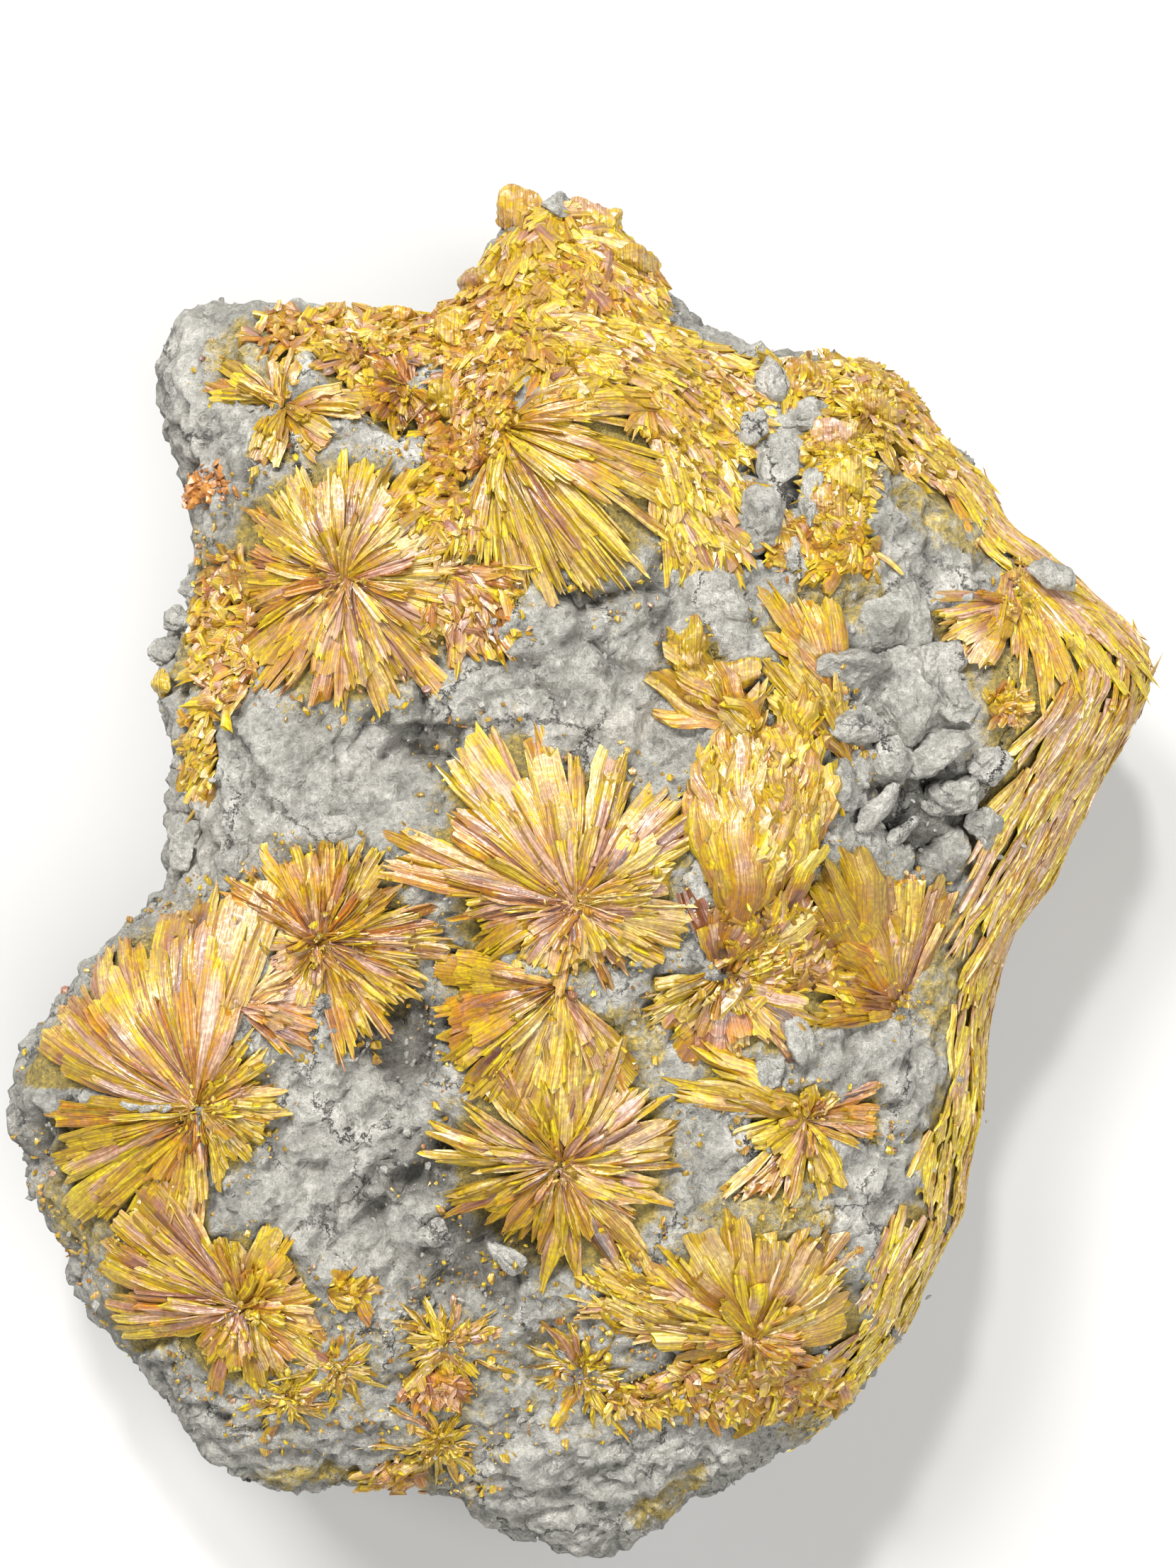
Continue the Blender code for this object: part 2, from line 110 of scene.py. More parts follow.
FANS = {
    "knob_star": (
        *burst(
            (-24.3, 30.0),
            (80, 104, 5.4, 1.0, "petal", 0.20, 0.30),
            (132, 176, 6.6, 1.0, "petal", 0.10, 0.16),
            (236, 286, 5.2, 1.0, "petal", 0.25, 0.26),
            (306, 336, 5.4, 1.0, "petal", 0.30, 0.30),
            (-12, 18, 7.2, 0.9, "petal", 0.55, 0.40),
        ),
        Fan(-17.4, 34.6, 150, 400, 4.8, 0.9, "petal", 0.35, 0.35),
        Fan(-14.6, 31.6, 90, 330, 4.2, 0.8, "petal", 0.45, 0.45),
    ),
    "upper_left_rosette": (
        *burst(
            (-19.4, 16.3),
            (62, 150, 11.0, 1.1, "petal", 0.34, 0.22),
            (150, 245, 11.2, 1.0, "petal", 0.12, 0.46),
            (245, 330, 11.4, 1.0, "petal", 0.42, 0.40),
            (-30, 62, 11.2, 1.1, "petal", 0.42, 0.36),
        ),
    ),
    "peak_fan": (
        *burst(
            (-7.4, 28.4),
            (-100, -62, 14.6, 0.9, "needle", 0.22, 0.18),
            (-64, -12, 17.8, 0.9, "needle", 0.26, 0.20),
            (-14, 22, 15.0, 0.9, "needle", 0.30, 0.30),
        ),
        Fan(5.6, 25.5, -88, 30, 6.8, 1.0, "petal", 0.22, 0.12),
    ),
    "left_fan": (
        *burst(
            (-30.8, -25.8),
            (70, 122, 17.6, 1.5, "shell", 0.70, 0.42),
            (118, 172, 17.6, 1.4, "shell", 0.80, 0.34),
            (184, 236, 14.6, 1.2, "shell", 0.25, 0.22),
            (232, 274, 10.6, 1.1, "petal", 0.62, 0.36),
        ),
        Fan(-30.6, -25.6, 274, 430, 6.4, 0.9, "petal", 0.20, 0.16),
        Fan(-27.9, -17.6, -44, 46, 6.4, 1.1, "petal", 0.75, 0.55),
        *burst(
            (-21.2, -12.6),
            (20, 158, 8.4, 0.7, "needle", 0.20, 0.42),
            (-78, 20, 9.4, 0.8, "needle", 0.28, 0.42),
            (158, 282, 4.4, 0.9, "petal", 0.40, 0.45),
        ),
    ),
    "central_rosettes": (
        *burst(
            (-0.9, -9.6),
            (106, 140, 17.0, 1.6, "petal", 0.66, 0.28),
            (138, 172, 14.4, 1.3, "petal", 0.62, 0.36),
            (170, 212, 11.2, 1.1, "petal", 0.66, 0.30),
            (66, 108, 12.6, 1.3, "petal", 0.58, 0.25),
            (20, 68, 11.4, 1.2, "petal", 0.38, 0.40),
            (-40, 22, 9.0, 1.1, "petal", 0.45, 0.20),
            (212, 320, 6.4, 1.1, "petal", 0.30, 0.30),
        ),
        *burst(
            (-2.1, -16.0),
            (160, 214, 10.6, 1.4, "shell", 0.50, 0.45),
            (210, 278, 11.6, 1.2, "shell", 0.22, 0.08),
            (276, 322, 9.4, 1.1, "shell", 0.55, 0.40),
        ),
        *burst(
            (-2.1, -30.3),
            (0, 180, 10.6, 1.1, "star", 0.50, 0.28),
            (180, 360, 9.8, 1.1, "star", 0.42, 0.28),
        ),
    ),
    "crest_fans": (
        *burst(
            (10.8, -15.4),
            (70, 116, 6.6, 1.5, "petal", 0.95, 0.60),
            (232, 300, 6.8, 1.8, "petal", 0.90, 0.60),
            (180, 236, 6.6, 1.0, "petal", 0.15, 0.15),
            (-60, 62, 8.4, 1.1, "petal", 0.35, 0.30),
        ),
        Fan(12.4, -11.0, 48, 122, 12.0, 2.0, "fold", 0.05, 0.22),
        *burst(
            (25.0, -17.8),
            (108, 152, 14.6, 1.7, "fold", 0.15, 0.26),
            (66, 114, 11.0, 1.5, "shell", 0.55, 0.45),
            (150, 192, 9.6, 1.1, "petal", 0.42, 0.40),
        ),
    ),
    "right_star": (
        *burst(
            (17.6, -26.4),
            (148, 172, 10.6, 1.1, "fold", 0.05, 0.16),
            (176, 214, 5.6, 1.0, "petal", 0.20, 0.12),
            (218, 256, 8.8, 1.1, "petal", 0.70, 0.22),
            (262, 304, 6.0, 0.9, "petal", 0.10, 0.02),
            (-24, 26, 6.6, 1.0, "petal", 0.45, 0.46),
            (26, 148, 2.8, 0.8, "star", 0.20, 0.26),
        ),
    ),
    "lower_right_fan": (
        *burst(
            (13.2, -44.0),
            (0, 64, 10.0, 1.5, "petal", 0.50, 0.26),
            (60, 122, 10.2, 1.6, "petal", 0.26, 0.22),
            (120, 186, 10.4, 1.2, "petal", 0.12, 0.24),
            (180, 370, 5.6, 1.0, "petal", 0.40, 0.40),
        ),
    ),
    "pink_wing_rosette": (
        *burst(
            (-27.5, -41.6),
            (112, 205, 12.4, 1.1, "shell", 0.85, 0.34),
            (205, 300, 6.8, 1.1, "petal", 0.62, 0.36),
            (-62, 112, 6.6, 0.9, "petal", 0.12, 0.34),
        ),
    ),
    "twin_rosettes": (
        Fan(-24.0, -48.6, 0, 360, 4.4, 0.6, "spray", 0.30, 0.14),
        Fan(-19.8, -46.2, 0, 360, 4.4, 0.6, "spray", 0.25, 0.16),
    ),
    "middle_rosette": (Fan(-11.0, -44.4, 0, 360, 5.4, 0.6, "spray", 0.35, 0.12),),
    "lower_rosette": (Fan(-11.6, -52.2, 0, 360, 4.8, 0.6, "spray", 0.15, 0.10),),
    "right_small_rosette": (Fan(-0.6, -46.6, 0, 360, 5.4, 0.6, "spray", 0.25, 0.14),),
    "band_blades": (Fan(14.6, 3.2, 118, 158, 11.4, 1.6, "lamella", 0.18, 0.36),),
    "shoulder_fan": (
        Fan(21.6, 1.4, 108, 152, 11.6, 1.1, "needle", 0.20, 0.22),
        Fan(19.8, 7.0, 92, 142, 9.6, 1.1, "needle", 0.15, 0.42),
    ),
    "right_crust": (
        *burst(
            (33.8, 17.4),
            (-64, -8, 13.4, 1.1, "fibre", 0.36, 0.24),
            (-112, -60, 12.4, 1.0, "fibre", 0.34, 0.26),
        ),
    ),
    "ledge_feathers": (
        Fan(34.0, 14.4, 184, 236, 8.0, 1.0, "petal", 0.35, 0.36),
    ),
    "top_right_crest": (
        Fan(16.4, 31.0, 20, 200, 4.4, 1.0, "star", 0.10, 0.12),
        Fan(22.4, 29.4, 0, 360, 4.6, 0.9, "star", 0.20, 0.16),
    ),
}
print("fans", sum(len(fans) for fans in FANS.values()))

# %% [markdown]
# ## Thickets
#
# Away from the fans the blades have no common centre: short and jumbled on the peak, in the
# bright clump and along the knob, upright in the folded crest, and parallel inside the right
# rim. A thicket fills an ellipse with blades that follow one flow direction, with a spread in
# degrees that says how closely.


# %% What a thicket is
class Thicket(NamedTuple):
    """Blades scattered over an ellipse."""

    x: float
    y: float
    half_x: float
    half_y: float
    flow: float
    spread: float
    length: float
    count: int
    width: float
    rose: float
    warm: float
    habit: str = "jumble"


THICKETS = {
    "peak_fan": (
        Thicket(-1.6, 39.6, 6.4, 7.6, -64, 34, 2.8, 465, 1.1, 0.16, 0.26),
        Thicket(0.6, 35.0, 6.8, 2.6, -8, 16, 4.2, 170, 1.0, 0.15, 0.18),
        Thicket(-8.4, 34.6, 3.0, 6.0, -80, 50, 2.0, 294, 1.0, 0.15, 0.46),
        Thicket(-9.6, 28.6, 3.2, 3.4, -60, 70, 1.9, 170, 1.0, 0.22, 0.44),
        Thicket(1.2, 41.0, 3.2, 2.4, -70, 24, 3.1, 93, 1.4, 0.90, 0.40),
        Thicket(8.6, 30.4, 4.2, 4.4, -54, 30, 2.8, 264, 1.0, 0.35, 0.24),
        Thicket(8.4, 23.4, 3.4, 4.2, -70, 20, 3.4, 155, 1.1, 0.25, 0.10),
    ),
    "knob_star": (Thicket(-18.0, 36.0, 8.6, 1.8, 0, 90, 1.7, 202, 0.9, 0.18, 0.40),),
    "upper_left_rosette": (
        Thicket(-28.6, 12.0, 2.6, 6.0, 200, 60, 1.6, 202, 1.0, 0.05, 0.40),
        Thicket(-9.6, 14.6, 3.2, 3.4, -60, 40, 2.7, 108, 1.0, 0.35, 0.46),
        Thicket(-11.6, 22.4, 2.4, 3.6, -70, 60, 1.9, 108, 1.0, 0.15, 0.36),
    ),
    "crest_fans": (
        Thicket(13.4, -3.4, 5.2, 6.4, 84, 14, 5.0, 170, 1.5, 0.05, 0.24, "fold"),
        Thicket(16.6, -13.4, 4.6, 3.4, 150, 60, 2.2, 155, 1.1, 0.40, 0.36),
    ),
    "lower_right_fan": (
        Thicket(13.6, -47.4, 7.6, 2.2, -90, 70, 1.9, 202, 1.1, 0.30, 0.34),
        Thicket(4.6, -41.4, 3.6, 2.4, 150, 20, 2.9, 78, 0.9, 0.05, 0.15),
    ),
    "bright_clump": (
        Thicket(19.8, 24.4, 2.6, 4.0, -90, 80, 1.4, 294, 0.9, 0.02, 0.04),
        Thicket(18.6, 18.8, 4.6, 1.8, 190, 60, 2.0, 140, 1.0, 0.10, 0.34),
    ),
    "top_right_crest": (
        Thicket(20.6, 32.0, 6.6, 1.7, 0, 80, 1.7, 202, 1.0, 0.10, 0.14),
        Thicket(26.6, 27.0, 2.6, 3.0, -50, 40, 2.0, 68, 0.8, 0.25, 0.18),
    ),
    "middle_rosette": (Thicket(-12.2, -47.4, 2.2, 1.2, -60, 60, 1.5, 62, 1.0, 0.20, 0.55),),
    "twin_rosettes": (Thicket(-19.0, -40.2, 1.5, 0.9, 20, 40, 1.4, 31, 1.0, 0.05, 0.40),),
    "right_small_rosette": (Thicket(4.4, -48.6, 3.6, 1.2, -20, 60, 1.5, 78, 0.9, 0.10, 0.30),),
    "lower_rosette": (Thicket(-14.6, -54.6, 2.4, 1.1, 215, 30, 2.0, 62, 1.0, 0.10, 0.35),),
    "right_crust": (
        Thicket(26.0, 31.0, 3.6, 3.6, -50, 9, 6.0, 34, 1.2, 0.40, 0.22, "fibre"),
        Thicket(30.0, 25.6, 3.4, 4.2, -52, 9, 6.0, 44, 1.2, 0.45, 0.25, "fibre"),
        Thicket(41.4, 6.0, 3.6, 6.0, 246, 9, 7.0, 90, 1.1, 0.60, 0.25, "fibre"),
        Thicket(38.0, -3.0, 4.6, 6.0, 240, 10, 7.0, 100, 1.1, 0.62, 0.28, "fibre"),
        Thicket(34.6, -11.0, 4.4, 5.0, 226, 12, 6.4, 74, 1.1, 0.60, 0.32, "fibre"),
    ),
    "lower_right_crust": (
        Thicket(32.0, -19.6, 3.2, 6.0, 258, 10, 5.6, 50, 1.1, 0.25, 0.18, "fibre"),
        Thicket(29.6, -29.6, 2.8, 5.6, 254, 16, 4.0, 44, 1.1, 0.15, 0.14, "fibre"),
        Thicket(22.4, -46.2, 3.6, 2.6, 218, 12, 4.4, 70, 1.1, 0.30, 0.12, "fibre"),
        Thicket(26.0, -38.4, 3.0, 5.4, 238, 12, 4.6, 80, 1.1, 0.30, 0.14, "fibre"),
    ),
    "ledge_feathers": (Thicket(33.2, 6.2, 1.3, 1.1, 0, 90, 1.1, 70, 0.8, 0.05, 0.40),),
    "left_streak": (Thicket(-30.6, 2.6, 1.1, 3.6, 250, 40, 1.7, 93, 0.9, 0.00, 0.25),),
}
print("thickets", sum(len(found) for found in THICKETS.values()))

# %% [markdown]
# ## Fibrous bands
#
# On the stone's right side the blades are seen edge-on, as long parallel fibres that run
# along the rim and over it. A band follows a line of places in the part's own millimetres,
# and its fibres keep to the line's direction.


# %% What a band is
class Band(NamedTuple):
    """Fibres along a line on the rim or wall."""

    line: tuple
    breadth: float
    fall: float
    length: float
    count: int
    width: float
    rose: float
    warm: float


BANDS = {
    "right_crust": (
        Band(((25.0, 39.0, 24), (30.5, 34.5, 23), (34.6, 28.5, 21)), 3.0, 5, 6.0, 70, 1.2, 0.50, 0.24),
        Band(((34.4, 27.0, 24), (40.0, 22.5, 23), (45.2, 17.6, 22)), 3.4, 6, 8.0, 90, 1.2, 0.75, 0.28),
        Band(
            ((45.0, 16.0, 20), (42.6, 6.6, 19), (38.6, -2.6, 19), (34.2, -11.0, 20)),
            *(4.0, 9, 8.0, 210, 1.3, 0.75, 0.28),
        ),
    ),
    "lower_right_crust": (
        Band(((33.4, -11.0, 20), (32.2, -20.0, 20), (30.0, -28.0, 20)), 3.0, 6, 5.0, 90, 1.2, 0.45, 0.20),
        Band(((30.2, -28.0, 20), (26.6, -36.4, 20), (20.4, -44.0, 20)), 3.0, 5, 3.6, 90, 1.2, 0.25, 0.14),
    ),
}
print("bands", sum(len(found) for found in BANDS.values()))

# %% [markdown]
# ## The rock's skin
#
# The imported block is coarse. A copy is rounded with subdivision and remeshed into small even
# cells, because noise can only push points that exist. It is built twice: once with large
# cells, as a smooth guide that the crystals are laid on, and once with small cells, for the
# rock that shows.

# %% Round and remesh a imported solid
GUIDE_CELL = 1.3
ROCK_CELL = 0.56
SAME_POINT = 0.001


def rounded_copy(name, node, levels, cell=None):
    """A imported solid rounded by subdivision, and remeshed where a cell's millimetres are given."""
    made = bpy.data.objects.new(name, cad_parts[node].data.copy())
    bpy.context.scene.collection.objects.link(made)
    weld = made.modifiers.new("weld", "WELD")
    weld.merge_threshold = SAME_POINT * MM
    rounding = made.modifiers.new("rounding", "SUBSURF")
    rounding.levels = levels
    rounding.render_levels = levels
    if cell:
        cells = made.modifiers.new("cells", "REMESH")
        cells.mode = "VOXEL"
        cells.voxel_size = cell * MM
    ready = made.evaluated_get(bpy.context.evaluated_depsgraph_get())
    mesh = bpy.data.meshes.new_from_object(ready)
    made.modifiers.clear()
    made.data = mesh
    return made


def points_of(mesh):
    """Points and normals of a mesh, in millimetres."""
    points = np.empty(len(mesh.vertices) * 3, np.float32)
    mesh.vertices.foreach_get("co", points)
    normals = np.empty(len(mesh.vertices) * 3, np.float32)
    mesh.vertex_normals.foreach_get("vector", normals)
    return points.reshape(-1, 3).astype(float) / MM, normals.reshape(-1, 3).astype(float)


guide_skin = rounded_copy("guide_skin", "matrix", 2, GUIDE_CELL)
rock = rounded_copy("matrix_rock", "matrix", 2, ROCK_CELL)
print("guide points", len(guide_skin.data.vertices), "rock points", len(rock.data.vertices))

# %% [markdown]
# ## Shaping the rock
#
# Clayey matrix breaks in soft lumps. Its relief is layers of noise: lumps of some millimetres,
# knuckles and pits on them, and in the bare band and the hollow flat plates with cracks between
# them. Plates come from scattered cell centres: the distance to the second nearest centre less
# that to the nearest is small along the borders between two cells.


# %% Noise over many points
def fractal(points, size, octaves, shift=0.0):
    """Noise of about -1 to 1, whose largest features are size millimetres."""
    away = Vector((shift, 2 * shift, -shift))
    return np.array([noise.fractal(Vector(p) / size + away, 1.0, 2.0, octaves) for p in points])


def cell_distances(points, size, shift=0.0):
    """Distance to the nearest and to the second nearest cell centre, in cell sizes."""
    away = Vector((shift, -shift, shift))
    found = [noise.voronoi(Vector(p) / size + away)[0] for p in points]
    found = np.array([f[:2] for f in found])
    return found[:, 0], found[:, 1]


def eased(values, low, high):
    """0 below low, 1 above high, smooth between."""
    t = np.clip((values - low) / (high - low), 0, 1)
    return t * t * (3 - 2 * t)


class Layer(NamedTuple):
    """One layer of noise: its height and its largest features in millimetres."""

    height: float
    size: float
    octaves: int
    shift: float


def relief_of(points, layer):
    """A layer's height at every point."""
    return layer.height * fractal(points, layer.size, layer.octaves, layer.shift)


# %% Places on the rock where something is different
class Patch(NamedTuple):
    """A soft-edged ellipse, as seen from the eye."""

    x: float
    y: float
    half_x: float
    half_y: float
    turn: float


PLATED = (
    Patch(-13.0, 5.0, 5.0, 4.0, 40),
    Patch(-2.0, 10.5, 12.0, 5.4, 32),
    Patch(23.0, 6.5, 6.4, 9.0, 0),
    Patch(14.6, 22.5, 3.2, 7.0, -12),
    Patch(28.0, -3.0, 6.4, 5.0, 0),
)
BROKEN = (
    Patch(-8.6, -37.4, 7.0, 4.4, 14),
    Patch(-14.6, -31.0, 5.0, 3.0, 35),
    Patch(-14.6, -20.0, 4.0, 3.4, 40),
    Patch(26.0, -1.0, 4.0, 3.4, 0),
    Patch(-43.6, -28.6, 2.0, 2.2, 0),
)
LAYERED = (Patch(8.0, -53.0, 13.0, 5.2, 28), Patch(-34.0, 30.0, 3.6, 8.0, 10))
PALE = (
    Patch(-26.6, -7.0, 7.4, 3.0, -8),
    Patch(-31.0, -3.0, 2.4, 3.6, 0),
    Patch(2.0, 4.6, 7.0, 1.8, 12),
    Patch(31.0, 9.5, 1.2, 2.2, 0),
    Patch(22.8, 3.6, 0.8, 3.0, 10),
    Patch(33.0, 12.5, 2.4, 2.0, 20),
)
STAINED = (
    Patch(-32.0, 14.0, 3.6, 9.0, 0),
    Patch(-26.4, 34.0, 5.0, 3.6, 0),
    Patch(20.0, 15.0, 5.0, 3.4, -20),
    Patch(29.0, 24.0, 6.0, 9.0, 40),
    Patch(29.0, -30.0, 3.6, 9.0, 0),
    Patch(29.6, -16.0, 4.6, 8.0, 0),
    Patch(-39.0, -33.0, 6.0, 5.0, -30),
    Patch(2.6, -20.4, 4.6, 4.0, 0),
    Patch(-20.0, -55.4, 11.0, 1.8, 0),
    Patch(6.5, -56.2, 5.0, 1.6, 35),
    Patch(20.0, -48.4, 7.0, 2.6, 38),
    Patch(14.0, -34.0, 7.0, 3.0, 0),
)

def inside(patches, seen):
    """How far seen places lie in the patches: 1 in the middle, 0 outside."""
    found = np.zeros(len(seen))
    for patch in patches:
        turn = math.radians(patch.turn)
        x = seen[:, 0] - patch.x
        y = seen[:, 1] - patch.y
        along = (x * math.cos(turn) + y * math.sin(turn)) / patch.half_x
        across = (y * math.cos(turn) - x * math.sin(turn)) / patch.half_y
        found = np.maximum(found, 1 - eased(np.hypot(along, across), 0.6, 1.25))
    return found


print("patches", len(PLATED) + len(BROKEN) + len(LAYERED) + len(PALE) + len(STAINED))

# %% Places under the crystals
SPRAY_COVER = 0.25
EVERY_FAN = [fan for fans in FANS.values() for fan in fans]
EVERY_THICKET = [spot for spots in THICKETS.values() for spot in spots]


def seen_from(fan, seen):
    """Distance of seen places from a fan's centre, and whether they lie in its sector."""
    x = seen[:, 0] - fan.x
    y = seen[:, 1] - fan.y
    turn = (np.degrees(np.arctan2(y, x)) - fan.first) % 360
    return np.hypot(x, y), turn <= fan.last - fan.first


def grown_over(seen):
    """How far seen places lie under the crystals: 1 under them, 0 beside them."""
    found = np.zeros(len(seen))
    for fan in EVERY_FAN:
        away, facing = seen_from(fan, seen)
        under = 1 - eased(away / fan.reach, 0.72, 1.04)
        if fan.habit == "spray":
            under *= SPRAY_COVER
        found = np.maximum(found, np.where(facing, under, 0))
    for spot in EVERY_THICKET:
        away = np.hypot((seen[:, 0] - spot.x) / spot.half_x, (seen[:, 1] - spot.y) / spot.half_y)
        found = np.maximum(found, 1 - eased(away, 0.7, 1.3))
    return found


print("fans and thickets", len(EVERY_FAN) + len(EVERY_THICKET))

# %% Push the guide's points
SOFT_LUMPS = Layer(0.55, 6.0, 2, 3.0)
BACK_LUMPS = 0.8
BACK_CHIP = 11.0
BACK_RISE = 1.2
MEAN_DISTANCE = 0.45


def coarse_relief(points, normals):
    """The lumps that both skins share, in millimetres along the normals.

    The back has chipped facets besides. MEAN_DISTANCE is how far a point is from the nearest
    cell centre on average, and taking it off keeps the chips from swelling the stone.
    """
    front = eased(normals[:, 2], -0.1, 0.5)
    lumps = relief_of(points, SOFT_LUMPS)
    chips = BACK_RISE * (cell_distances(points, BACK_CHIP, 5.0)[0] - MEAN_DISTANCE)
    return lumps * front + (chips + BACK_LUMPS * lumps) * (1 - front)


def keep_off_the_table(points):
    """The stone rests on its flat face: nothing goes below it."""
    points[:, 2] = np.maximum(points[:, 2], 0.0)
    return points


def moved(obj, points):
    """Gives a mesh its new points, in millimetres."""
    obj.data.vertices.foreach_set("co", (points * MM).astype(np.float32).ravel())
    obj.data.update()


guide_points, guide_normals = points_of(guide_skin.data)
guide_points += guide_normals * coarse_relief(guide_points, guide_normals)[:, None]
guide_points = keep_off_the_table(guide_points)
guide_faces = [tuple(face.vertices) for face in guide_skin.data.polygons]
guide = BVHTree.FromPolygons([Vector(p) for p in guide_points], guide_faces)
bpy.data.objects.remove(guide_skin)
print("guide box", guide_points.min(axis=0).round(1), guide_points.max(axis=0).round(1))

# %% Masks over the rock's points
base, base_normals = points_of(rock.data)
seen = as_seen(base)


def fibrous_side(points, seen):
    """1 on the right side, which the fibres cover down to near its foot, 0 elsewhere."""
    outward = eased(points[:, 0], 24, 36)
    above_foot = eased(points[:, 2], 4, 12)
    past_slant = eased(points[:, 0] - 0.6 * seen[:, 1], 18, 26)
    return outward * above_foot * past_slant


front = eased(base_normals[:, 2], 0.0, 0.5)
under_crystals = grown_over(seen) * front
right_side = fibrous_side(base, seen)
bare = (1 - under_crystals) * (1 - 0.7 * right_side)
plated = inside(PLATED, seen) * front
broken = inside(BROKEN, seen) * front
layered = inside(LAYERED, seen) * front
print("bare share", round(float(bare.mean()), 3))

# %% Plates and the cracks between them
PLATE = 5.2
PLATE_OUT = 0.9
PLATE_WARP = 0.8
PLATE_HEIGHT = 0.75
PLATE_SHOULDER = 0.2
PLATE_DOME = 0.5
PLATE_SINK = 0.25
CRACK_WIDTH = 0.09
CRACK_DEPTH = 0.9
BORDER_WOBBLE = Layer(0.06, 2.2, 2, 9.0)

warp = np.stack([fractal(base, 5.0, 2, shift) for shift in (15.0, 25.0, 35.0)], axis=1)
near, second = cell_distances(base + PLATE_OUT * base_normals + PLATE_WARP * warp, PLATE, 1.0)
border = second - near + relief_of(base, BORDER_WOBBLE)
cracked = eased(fractal(base, 9.0, 1, 4.0), -0.3, 0.1)
cracks = np.exp(-((border / CRACK_WIDTH) ** 2)) * cracked
plates = PLATE_HEIGHT * eased(border, 0.0, PLATE_SHOULDER) - PLATE_DOME * near
print("cracked share", round(float(cracked.mean()), 3))

# %% Push the rock's points
KNUCKLES = Layer(0.50, 2.6, 3, 6.0)
GRAVEL = Layer(0.30, 1.4, 1, 11.0)
BREAKS = Layer(2.0, 2.4, 3, 8.0)
BACK_ROUGHNESS = Layer(0.6, 3.4, 3, 2.0)
SMALL_LUMP = 2.4
SMALL_RISE = 0.45
PIT_DEPTH = 0.6
CREASE_WIDTH = 0.09
CREASE_DEPTH = 0.5
BREAK_DEPTH = 1.0
STEP_HEIGHT = 0.7
STEPS_A_WAVE = 3.0
SEAT_DEPTH = 0.7


def broken_steps(points, size, shift):
    """Overlapping steps of 0 to 1, as where thin layers broke off one after another."""
    flattened = points * np.array((1, 1, 3.0))
    wave = STEPS_A_WAVE * fractal(flattened, size, 3, shift)
    return wave - np.floor(wave)


small_near = cell_distances(base, SMALL_LUMP, 7.0)[0]
pits = eased(np.abs(fractal(base, 2.0, 2, 21.0)), 0.25, 0.60)
creases = np.exp(-((fractal(base, 3.4, 2, 13.0) / CREASE_WIDTH) ** 2))
relief = coarse_relief(base, base_normals)
relief += plated * (plates - PLATE_SINK - CRACK_DEPTH * cracks)
relief += bare * relief_of(base, KNUCKLES)
relief += bare * (1 - 0.5 * plated) * SMALL_RISE * (MEAN_DISTANCE - small_near)
relief += bare * relief_of(base, GRAVEL)
relief += bare * PIT_DEPTH * (0.3 - pits)
relief -= (bare * front + 1 - front) * CREASE_DEPTH * creases
relief += broken * (relief_of(base, BREAKS) - BREAK_DEPTH)
relief += layered * STEP_HEIGHT * (broken_steps(base, 7.0, 2.0) - 0.5)
relief += (1 - front) * (1 - right_side) * (relief_of(base, BACK_ROUGHNESS) - CREASE_DEPTH * cracks)
relief -= np.maximum(under_crystals, right_side) * SEAT_DEPTH
rock_points = keep_off_the_table(base + base_normals * relief[:, None])
moved(rock, rock_points)
print("rock faces", len(rock.data.polygons), "box", rock_points.min(axis=0), rock_points.max(axis=0))

# %% [markdown]
# The rock's colour follows what happened to it: yellow dust near the crystals and under the
# fibres, white lime on some edges. Painted shade darkens it where it is cracked, pitted,
# creased or broken and under the crystals. Those shares are worked out from the same masks
# and kept on the mesh, where the material reads them by name.

# %% Write named shares on the rock
DUST_NEAR_CRYSTALS = 0.42
DUST_IN_PATCHES = 0.60
DUST_UNDER_CRYSTALS = 0.9
DUST_ON_THE_BACK = 0.45
DUST_BEYOND = 2.2


def keep_share(mesh, name, values):
    """One number a point, for the material's Attribute node."""
    made = mesh.attributes.new(name, "FLOAT", "POINT")
    made.data.foreach_set("value", np.asarray(values, np.float32).ravel())


near_crystals = np.zeros(len(base))
at_centres = np.zeros(len(base))
for fan in EVERY_FAN:
    away, facing = seen_from(fan, seen)
    beyond = 1 - eased(away - fan.reach, -0.5, DUST_BEYOND)
    near_crystals = np.maximum(near_crystals, np.where(facing, beyond, 0))
    at_centres = np.maximum(at_centres, np.exp(-((away / (0.14 * fan.reach + 0.5)) ** 2)))
stain = np.maximum(near_crystals * DUST_NEAR_CRYSTALS, inside(STAINED, seen) * DUST_IN_PATCHES) * front
stain = np.maximum(stain, DUST_UNDER_CRYSTALS * np.maximum(right_side, under_crystals))
old_dust = eased(fractal(base, 14.0, 2, 1.0), 0.0, 0.5)
stain = np.maximum(stain, DUST_ON_THE_BACK * (1 - front) * old_dust)
# Painted shade: darker in the cracks, the broken patches, the creases and pits, and under the crystals
painted_shade = plated * cracks + 0.8 * broken * eased(fractal(base, 3.0, 3, 17.0), -0.5, 0.3)
painted_shade += 0.4 * under_crystals + bare * (0.35 * creases + 0.25 * pits)
keep_share(rock.data, "stain", stain)
keep_share(rock.data, "lime", inside(PALE, seen) * front)
keep_share(rock.data, "painted_shade", np.clip(painted_shade, 0, 1))
rock.data.shade_smooth()
print("stained share", round(float(stain.mean()), 3))

# %% [markdown]
# ## Laying a blade on the rock
#
# A blade starts at a point and keeps to the guide while it goes on in its direction: each
# step moves on and drops back to the nearest point of the guide. So the same few lines lay
# blades on the face, over the rim and down the wall.

# %% Find a place and walk from it
STEPS = 6
INWARD_TRIES = 80


